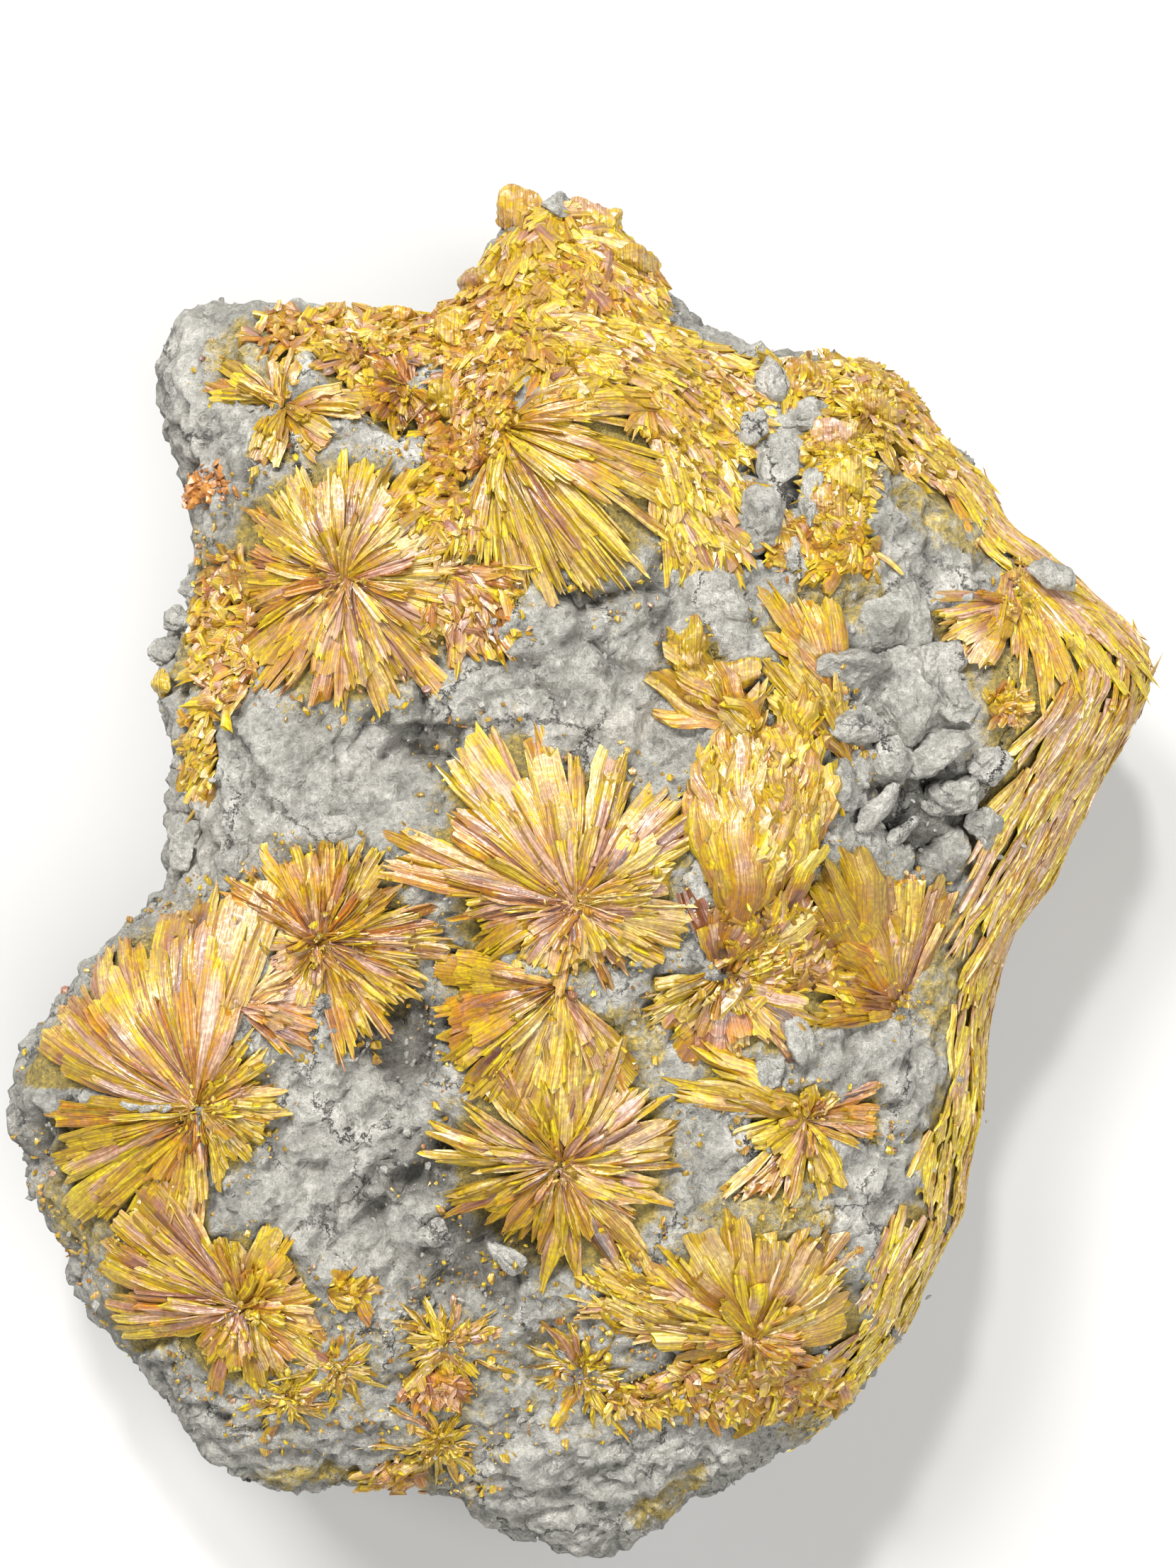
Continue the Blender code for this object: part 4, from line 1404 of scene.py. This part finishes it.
# %% Clayey matrix
def matrix_material():
    """Grey clay with its dust, lime, painted shade and fine cracks, dull all over."""
    material, tree, shader = start_material("clayey_matrix_rock")
    spot = add(tree, "TexCoord").outputs["Object"]
    stain = add(tree, "Attribute", attribute_name="stain").outputs["Fac"]
    lime = add(tree, "Attribute", attribute_name="lime").outputs["Fac"]
    painted_shade = add(tree, "Attribute", attribute_name="painted_shade").outputs["Fac"]
    looks = ((BRUISES, 7.0, 0.62), (GRIT, 4.0, 0.7), (CREVICES, 8.0, 0.76), (MOTTLES, 5.0, 0.7))
    cloud, grain, patchy, mottle = (
        add(tree, "TexNoise", {"Vector": spot, "Scale": per_mm(size), "Detail": detail, "Roughness": rough})
        for size, detail, rough in looks
    )
    bent_by = patchy.outputs["Color"]
    cloud, grain, patchy, mottle = (found.outputs["Fac"] for found in (cloud, grain, patchy, mottle))

    # Grey, then dust, lime and shadow over it, each where its share and a noise meet
    grey = add(
        tree,
        "ValToRGB",
        {"Fac": cloud},
        stops=((0.32, CLAY_DARK), (0.5, CLAY), (0.68, CLAY_LIGHT)),
    ).outputs[0]
    dusted = add(tree, "Math", {0: stain, 1: mottle}, operation="ADD").outputs[0]
    dusted = add(tree, "MapRange", {"Value": dusted, "From Min": 0.92, "From Max": 1.18, "To Max": 0.9})
    dust = add(tree, "ValToRGB", {"Fac": grain}, stops=((0.40, DUST), (0.60, DUST_BRIGHT))).outputs[0]
    limed = add(tree, "Math", {0: lime, 1: patchy}, operation="ADD").outputs[0]
    limed = add(tree, "MapRange", {"Value": limed, "From Min": 1.00, "From Max": 1.50, "To Max": 0.75})
    # Painted shade: the SHADOW colour goes where the painted shade share is high
    dark = add(tree, "Math", {0: painted_shade, 1: 0.75}, operation="MULTIPLY")

    # Fine cracks, bent by noise and only in some places
    bend = (CRACK_BEND * MM,) * 3
    bent = add(tree, "VectorMath", {0: bent_by, 1: bend, 2: spot}, operation="MULTIPLY_ADD").outputs[0]
    edges = add(
        tree,
        "TexVoronoi",
        {"Vector": bent, "Scale": per_mm(CRACK_SPACING)},
        feature="DISTANCE_TO_EDGE",
    )
    split = add(
        tree,
        "MapRange",
        {"Value": edges.outputs["Distance"], "From Max": 0.022, "To Min": 1.0, "To Max": 0.0},
    ).outputs[0]
    where = add(tree, "MapRange", {"Value": cloud, "From Min": 0.50, "From Max": 0.60}).outputs[0]
    cracks = add(tree, "Math", {0: split, 1: where}, operation="MULTIPLY")

    colour = grey
    covers = ((dusted, dust), (limed, linear(LIME)), (dark, linear(SHADOW)), (cracks, linear(CRACK)))
    for share, over in covers:
        mixed = add(tree, "Mix", {0: share.outputs[0], MIX_A: colour, MIX_B: over}, data_type="RGBA")
        colour = mixed.outputs[MIX_OUT]

    # Speckled by the grit, with painted shade in the crevices: darker where the crevice bump is low, lighter
    # where it is high
    shade = product(tree, ((grain, 0.3, 0.7, 0.68, 1.34), (patchy, 0.36, 0.60, 0.70, 1.20)))
    colour = add(tree, "VectorMath", {0: colour, "Scale": shade}, operation="SCALE").outputs[0]
    tree.links.new(colour, shader.inputs["Base Color"])

    rough = add(tree, "Bump", {"Height": patchy, "Distance": CREVICE_DEPTH * MM, "Strength": 1.0}).outputs[0]
    open_cracks = add(
        tree,
        "Bump",
        {"Height": cracks.outputs[0], "Distance": FINE_CRACK_DEPTH * MM, "Normal": rough},
        invert=True,
    ).outputs[0]
    gritty = add(
        tree,
        "Bump",
        {"Height": grain, "Distance": GRIT_DEPTH * MM, "Strength": 1.0, "Normal": open_cracks},
    ).outputs[0]
    tree.links.new(gritty, shader.inputs["Normal"])
    shader.inputs["Roughness"].default_value = 0.92
    shader.inputs["IOR"].default_value = 1.5
    return material


clay = matrix_material()
rock.data.materials.clear()
rock.data.materials.append(clay)
print(clay.name, "nodes", len(clay.node_tree.nodes))

# %% [markdown]
# ### Realgar grains
#
# A few orange-red crumbs are realgar, orpiment's sister mineral: resinous, and dull where it
# has begun to fall to powder.

# %% Realgar
REALGAR = "#8E4A12"
REALGAR_POWDER = "#C98A30"


def realgar_material():
    """Orange-brown grains with patches of paler powder."""
    material, tree, shader = start_material("realgar_resinous_grains")
    spot = add(tree, "TexCoord").outputs["Object"]
    cloud = add(tree, "TexNoise", {"Vector": spot, "Scale": per_mm(0.6), "Detail": 4.0}).outputs["Fac"]
    colour = add(tree, "ValToRGB", {"Fac": cloud}, stops=((0.35, REALGAR), (0.7, REALGAR_POWDER)))
    tree.links.new(colour.outputs[0], shader.inputs["Base Color"])
    rough = add(tree, "Bump", {"Height": cloud, "Distance": 0.1 * MM, "Strength": 0.8})
    tree.links.new(rough.outputs[0], shader.inputs["Normal"])
    shader.inputs["Roughness"].default_value = 0.45
    shader.inputs["IOR"].default_value = 2.0
    return material


realgar = realgar_material()
print(realgar.name, "nodes", len(realgar.node_tree.nodes))

# %% [markdown]
# ## Growing the crystal groups
#
# Every group is one piece that takes the place of its imported node, and all are given the
# orpiment material. Each has its own seeded random stream, so a change in one leaves the
# others as they were. Blades that show their shape are fine ones, and the jumbled bits are
# plain ones with fewer points.

# %% Grow them
FIRST_SEED = 100


def settle(piece, node):
    """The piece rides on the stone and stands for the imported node."""
    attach(piece, "root")
    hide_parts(node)


settle(rock, "matrix")
blade_count = 0
groups = sorted({*FANS, *THICKETS, *BANDS})
for seed, node in enumerate(groups):
    rng = np.random.default_rng(FIRST_SEED + seed)
    fine = []
    plain = []
    for fan in FANS.get(node, ()):
        fine += fan_blades(rng, fan)
    for spot in THICKETS.get(node, ()):
        kind = plain if spot.habit == "jumble" else fine
        kind += thicket_blades(rng, spot)
    for band in BANDS.get(node, ()):
        fine += band_blades(rng, band)
    piece = grow(f"{node}_blades", fine, plain, orpiment, rng)
    settle(piece, node)
    blade_count += len(fine) + len(plain)
    print(node, "blades", len(fine), len(plain), "faces", len(piece.data.polygons))
print("groups", len(groups), "blades", blade_count)

# %% [markdown]
# ## Crumbs and lumps
#
# Broken bits of blade lie round every group, and grey crumbs over the bare rock. A crumb is a
# crumpled twenty-sided ball.

# %% A ball of twenty faces
GOLDEN_RATIO = (1 + math.sqrt(5)) / 2
EDGE = 1.1
ICO_POINTS = unit(
    np.array(
        [(a, b * GOLDEN_RATIO, 0.0) for a in (-1, 1) for b in (-1, 1)]
        + [(0.0, a, b * GOLDEN_RATIO) for a in (-1, 1) for b in (-1, 1)]
        + [(b * GOLDEN_RATIO, 0.0, a) for a in (-1, 1) for b in (-1, 1)]
    )
)
CORNERS = len(ICO_POINTS)


def ico_faces():
    """The twenty faces: triples of points no further apart than an edge, facing out."""
    faces = []
    for i in range(CORNERS):
        for j in range(i + 1, CORNERS):
            for k in range(j + 1, CORNERS):
                a, b, c = ICO_POINTS[i], ICO_POINTS[j], ICO_POINTS[k]
                if max(np.linalg.norm(a - b), np.linalg.norm(b - c), np.linalg.norm(c - a)) < EDGE:
                    out = np.dot(np.cross(b - a, c - a), a + b + c) > 0
                    faces.append((i, j, k) if out else (i, k, j))
    return faces


ICO_FACES = np.array(ico_faces())
print("faces of a crumb", len(ICO_FACES))

# %% Scatter crumbs
CRUMPLED = 0.28
CRUMB_RISE = 0.15


def random_turns(rng, count):
    """Random rotations, from unit quaternions."""
    w, x, y, z = unit(rng.normal(size=(count, 4))).T
    return np.stack(
        [
            np.stack([1 - 2 * (y * y + z * z), 2 * (x * y - z * w), 2 * (x * z + y * w)], -1),
            np.stack([2 * (x * y + z * w), 1 - 2 * (x * x + z * z), 2 * (y * z - x * w)], -1),
            np.stack([2 * (x * z - y * w), 2 * (y * z + x * w), 1 - 2 * (x * x + y * y)], -1),
        ],
        1,
    )


def scatter_crumbs(name, chances, count, smallest, largest, material, rng):
    """Crumbs on the rock's own points, more where the chance is higher."""
    chosen = rng.choice(len(chances), count, p=chances / chances.sum())
    size = smallest + (largest - smallest) * rng.uniform(size=(count, 1, 1)) ** 3
    crumpled = 1 + CRUMPLED * rng.normal(size=(count, CORNERS, 1))
    shape = ICO_POINTS[None] * crumpled * rng.uniform(0.3, 1.2, (count, 1, 3))
    turned = np.einsum("nij,nkj->nki", random_turns(rng, count), shape) * size
    on_blades = rng.uniform(0.7, 2.0, (count, 1)) * under_crystals[chosen, None]
    height = CRUMB_RISE * size[:, :, 0] + on_blades
    points = turned + (rock_points[chosen] + base_normals[chosen] * height)[:, None, :]
    points[:, :, 2] = np.maximum(points[:, :, 2], 0.0)
    first = (np.arange(count) * CORNERS)[:, None, None]
    faces = (ICO_FACES[None] + first).reshape(-1, 3).tolist()
    piece = new_piece(name, points.reshape(-1, 3), faces, material)
    piece.data.shade_flat()
    return piece


# %% Crumbs of orpiment
ORPIMENT_CRUMBS = 3800
ROSY_CRUMBS = 0.04
CRUMB_ROSE = 0.7
CRUMB_WARMTH = 0.16

rng = np.random.default_rng(7)
beside = np.clip(near_crystals * 1.4, 0, 1) * bare * front
chance = beside + 1.5 * at_centres + 0.10 * under_crystals + 0.04 * stain
chance += 0.45 * broken * eased(fractal(base, 2.6, 2, 19.0), 0.1, 0.4)
yellow_crumbs = scatter_crumbs("orpiment_crumbs", chance**2, ORPIMENT_CRUMBS, 0.10, 0.42, orpiment, rng)
keep_bits(
    yellow_crumbs.data,
    blush=(rng.uniform(size=ORPIMENT_CRUMBS) < ROSY_CRUMBS) * CRUMB_ROSE,
    warmth=np.clip(rng.normal(CRUMB_WARMTH, 0.2, ORPIMENT_CRUMBS), 0, 1),
    tone=rng.uniform(size=ORPIMENT_CRUMBS),
)
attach(yellow_crumbs, "root")
print("orpiment crumbs", ORPIMENT_CRUMBS)

# %% Crumbs of clay and grains of realgar
CLAY_CRUMBS = 1300
REALGAR_GRAINS = 260
REALGAR_PATCH = Patch(-30.4, 23.4, 1.2, 0.9, 0)

chance = bare * front * (0.15 + broken + 0.5 * plated) + 0.04 * (1 - front)
grey_crumbs = scatter_crumbs("clay_crumbs", chance, CLAY_CRUMBS, 0.10, 0.40, clay, rng)
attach(grey_crumbs, "root")
x = (seen[:, 0] - REALGAR_PATCH.x) / REALGAR_PATCH.half_x
y = (seen[:, 1] - REALGAR_PATCH.y) / REALGAR_PATCH.half_y
chance = np.exp(-(x**2 + y**2)) * front**3
realgar_grains = scatter_crumbs("realgar_grains", chance, REALGAR_GRAINS, 0.22, 0.55, realgar, rng)
settle(realgar_grains, "realgar_specks")
print("clay crumbs", CLAY_CRUMBS, "realgar grains", REALGAR_GRAINS)

# %% [markdown]
# The hollow and the gaps between the crystals are full of broken blocks of clay, and worn
# chunks of orpiment stand out of the crusts. A block is a finely meshed ball that is pulled in
# to random flat sides, with blunt edges between them, and then roughened by noise. Its lower
# half is sunk in the rock.


# %% Where the broken lumps are
class Lump(NamedTuple):
    """A blocky lump that sits half in the rock."""

    x: float
    y: float
    half_x: float
    half_y: float
    half_z: float
    turn: float


BROKEN_CLAY = (
    Lump(22.6, 12.4, 2.1, 2.9, 1.6, 10),
    Lump(25.6, 13, 3.1, 2.3, 1.8, -20),
    Lump(20.8, 9.4, 1.7, 3.4, 1.7, 5),
    Lump(23.6, 9, 2.5, 2.6, 2, 30),
    Lump(27, 9.4, 2.5, 2.7, 1.6, -35),
    Lump(25.2, 6, 2.3, 3.1, 2, 55),
    Lump(28.6, 6.6, 1.8, 2.1, 1.3, 0),
    Lump(21.6, 4.8, 1.6, 3, 1.6, -12),
    Lump(27.6, 2.6, 3.1, 1.7, 2, 8),
    Lump(24.2, 1.6, 2.3, 1.8, 1.7, 20),
    Lump(28.6, -0.8, 2.6, 2, 2, 20),
    Lump(31.4, 1.4, 1.8, 1.6, 1.2, 0),
    Lump(20.6, -0.6, 2, 1.4, 1.2, 35),
    Lump(31.4, -3.2, 2, 1.6, 1, 50),
    Lump(14.4, 31.6, 1.7, 2.3, 1.4, 20),
    Lump(16.6, 28.6, 2.5, 1.2, 1.3, 5),
    Lump(14.8, 25.4, 1.8, 2.7, 1.7, -10),
    Lump(13.6, 20.8, 2.6, 2.9, 2, 15),
    Lump(16.4, 17.6, 1.6, 1.3, 1, 30),
    Lump(10.4, 15.2, 2.5, 2, 1.6, 40),
    Lump(17.6, 22.4, 1, 2.9, 1.3, -12),
    Lump(12.8, 28.4, 1.3, 2.1, 1.2, 0),
    Lump(-33.2, 10.6, 1.4, 1.6, 1.2, 0),
    Lump(-33.8, 13.4, 1.2, 1.4, 1, 0),
    Lump(-32.6, 15.8, 1.3, 1.2, 1, 0),
    Lump(-31.8, -4.6, 2.1, 1.8, 1.3, 20),
    Lump(-28.4, -6.6, 2.2, 1.6, 1.2, -10),
    Lump(-6.4, -37.4, 1.6, 1, 0.8, 30),
    Lump(-12.4, -35.6, 1.7, 1, 0.8, -20),
    Lump(16.8, -20.6, 2.1, 1.4, 1, 10),
    Lump(14.4, -22.6, 1.6, 1, 0.8, 0),
    Lump(-2.4, 46.2, 1.5, 1.9, 1.3, 15),
    Lump(5.4, 39.6, 0.9, 2.0, 0.9, 35),
)
BROKEN_ORPIMENT = (
    Lump(-5.2, 44.8, 1.9, 2.2, 1.9, 20),
    Lump(-8.8, 40.6, 1.7, 2.2, 1.7, 0),
    Lump(1.0, 45.0, 2.3, 1.8, 1.9, 30),
    Lump(4.2, 42.2, 1.6, 2.4, 1.5, -20),
    Lump(-10.6, 35.4, 1.4, 2.0, 1.6, 10),
    Lump(-11.0, 30.6, 1.5, 1.6, 1.5, 0),
    Lump(19.4, 27.4, 1.8, 1.5, 1.6, 10),
    Lump(20.8, 24.6, 1.7, 1.9, 1.5, 40),
    Lump(19.0, 22.0, 1.5, 1.5, 1.3, 0),
    Lump(22.4, 29.6, 1.8, 1.3, 1.3, 25),
    Lump(17.6, 32.0, 1.9, 1.2, 1.4, -10),
    Lump(8.0, 10.4, 1.5, 2.6, 1.6, -30),
    Lump(10.6, 8.2, 1.4, 2.8, 1.5, -42),
    Lump(-14.6, 36.4, 1.4, 1.0, 1.2, 0),
    Lump(-20.0, 37.4, 1.3, 1.0, 1.0, 0),
)
print("lumps of clay", len(BROKEN_CLAY), "chunks of orpiment", len(BROKEN_ORPIMENT))

# %% Shape the broken lumps
LUMP_FINENESS = 4
LUMP_SIDES = 14
EDGE_SHARPNESS = 16
ROUND_REST = 0.8
LUMP_ROUGHNESS = 0.44
LUMP_CREASE = 0.08


def chunk(sphere, rng):
    """A sphere pulled in to random flat sides, with blunt edges between them."""
    sides = unit(rng.normal(size=(LUMP_SIDES, 3)))
    facing = np.maximum(sphere @ sides.T, 0) / rng.uniform(0.60, 1.0, LUMP_SIDES)
    pull = (facing**EDGE_SHARPNESS).sum(axis=1) + ROUND_REST**EDGE_SHARPNESS
    return sphere / (pull ** (1 / EDGE_SHARPNESS))[:, None]


def broken_lumps(name, lumps, material, rng):
    """Lumps as one piece, each half sunk in the rock."""
    ball = bmesh.new()
    bmesh.ops.create_icosphere(ball, subdivisions=LUMP_FINENESS, radius=1.0)
    sphere = np.array([tuple(v.co) for v in ball.verts])
    pattern = np.array([[v.index for v in face.verts] for face in ball.faces])
    ball.free()
    points = []
    faces = []
    for lump in lumps:
        spot = spot_on_rock(lump.x, lump.y)
        upright = guide.find_nearest(spot)[1].to_track_quat("Z", "Y").to_matrix()
        stand = upright @ Matrix.Rotation(math.radians(lump.turn), 3, "Z")
        shape = chunk(sphere, rng) * np.array((lump.half_x, lump.half_y, lump.half_z))
        shape = shape @ np.array(stand).T + np.array(spot)
        out = unit(shape - shape.mean(axis=0))
        uneven = fractal(shape, 1.7, 5, 2.0)
        creased = uneven - 0.5 * np.exp(-((uneven / LUMP_CREASE) ** 2))
        shape += out * (LUMP_ROUGHNESS * creased)[:, None]
        faces += (pattern + len(points) * len(sphere)).tolist()
        points.append(shape)
    return new_piece(name, keep_off_the_table(np.concatenate(points)), faces, material)


clay_lumps = broken_lumps("broken_clay", BROKEN_CLAY, clay, np.random.default_rng(11))
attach(clay_lumps, "root")
rng = np.random.default_rng(12)
chunks = broken_lumps("orpiment_chunks", BROKEN_ORPIMENT, orpiment, rng)
keep_bits(
    chunks.data,
    blush=rng.choice((0.0, 0.0, 0.35), len(BROKEN_ORPIMENT)),
    warmth=rng.uniform(0.05, 0.45, len(BROKEN_ORPIMENT)),
    tone=rng.uniform(0.35, 0.75, len(BROKEN_ORPIMENT)),
)
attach(chunks, "root")
print("faces of the lumps", len(clay_lumps.data.polygons) + len(chunks.data.polygons))

# %% [markdown]
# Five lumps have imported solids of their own. A copy of each is rounded by subdivision, as the
# block was, and roughened by noise.

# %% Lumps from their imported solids
LUMPS = {
    "pebble": clay,
    "edge_nodule": orpiment,
    "corner_lump": clay,
    "clay_rod_long": clay,
    "clay_rod_short": clay,
}
PITTING = Layer(0.28, 1.4, 4, 5.0)


def roughened(node, material):
    """A packed lump, rounded by subdivision and roughened by noise along its normals."""
    made = rounded_copy(f"{node}_rough", node, 3)
    points, normals = points_of(made.data)
    moved(made, points + normals * relief_of(points, PITTING)[:, None])
    made.data.materials.clear()
    made.data.materials.append(material)
    made.data.shade_smooth()
    settle(made, node)
    return made


for node, material in LUMPS.items():
    lump = roughened(node, material)
    if material == orpiment:
        keep_bits(lump.data, blush=[0.0], warmth=[0.15], tone=[0.6])
print("lumps", len(LUMPS))

# %% [markdown]
# ## Floor, light and camera
#
# The stone lies on a plain pale floor. The camera looks straight down from the eye that the
# places were read from, so the picture is framed as the photograph is. A broad soft light
# hangs over the stone's lower right, a smaller one comes from the upper left, and a small one
# beyond the top edge gives the glints on the blades.

# %% Floor
FLOOR_SIZE = 3.0
FLOOR_DARK = "#CBCAC7"
FLOOR_PALE = "#D1D0CE"


def floor_material():
    """A matte sheet with the faintest clouds."""
    material, tree, shader = start_material("pale_matte_floor")
    spot = add(tree, "TexCoord").outputs["Object"]
    cloud = add(tree, "TexNoise", {"Vector": spot, "Scale": per_mm(60.0), "Detail": 3.0}).outputs["Fac"]
    colour = add(tree, "ValToRGB", {"Fac": cloud}, stops=((0.3, FLOOR_DARK), (0.7, FLOOR_PALE)))
    tree.links.new(colour.outputs[0], shader.inputs["Base Color"])
    shader.inputs["Roughness"].default_value = 0.8
    return material


half = FLOOR_SIZE / 2
floor_points = np.array([(-half, -half, 0), (half, -half, 0), (half, half, 0), (-half, half, 0)]) / MM
floor = new_piece("floor", floor_points, [(0, 1, 2, 3)], floor_material())
print("floor", FLOOR_SIZE, "m")


# %% Light
class Light(NamedTuple):
    """A square lamp: its place and size in metres, its power in watts."""

    name: str
    place: tuple
    size: float
    power: float


LIGHTS = (
    Light("key_light", (-0.24, 0.34, 0.52), 0.18, 3.7),
    Light("overhead_light", (0.26, -0.18, 0.74), 0.60, 5.7),
    Light("glint_light", (-0.06, 0.42, 0.60), 0.06, 3.0),
)
SKY = "#F2F3F5"
SKY_STRENGTH = 0.14

for light in LIGHTS:
    lamp = bpy.data.lights.new(light.name, "AREA")
    lamp.size = light.size
    lamp.energy = light.power
    made = bpy.data.objects.new(light.name, lamp)
    made.location = light.place
    made.rotation_euler = (-Vector(light.place)).to_track_quat("-Z", "Y").to_euler()
    bpy.context.scene.collection.objects.link(made)
world = bpy.data.worlds.new("studio")
world.use_nodes = True
world.node_tree.nodes["Background"].inputs["Color"].default_value = linear(SKY)
world.node_tree.nodes["Background"].inputs["Strength"].default_value = SKY_STRENGTH
bpy.context.scene.world = world
bpy.context.scene.view_settings.view_transform = "Standard"
print("lights", len(LIGHTS))

# %% Camera
PICTURE_HEIGHT = 123.87
SENSOR = 36.0
camera = bpy.data.cameras.new("camera")
camera.sensor_width = SENSOR
camera.lens = SENSOR * EYE_DISTANCE / PICTURE_HEIGHT
camera.clip_start = 0.02
viewer = bpy.data.objects.new("camera", camera)
viewer.location = EYE * MM
bpy.context.scene.collection.objects.link(viewer)
bpy.context.scene.camera = viewer
print("lens", round(camera.lens, 1))
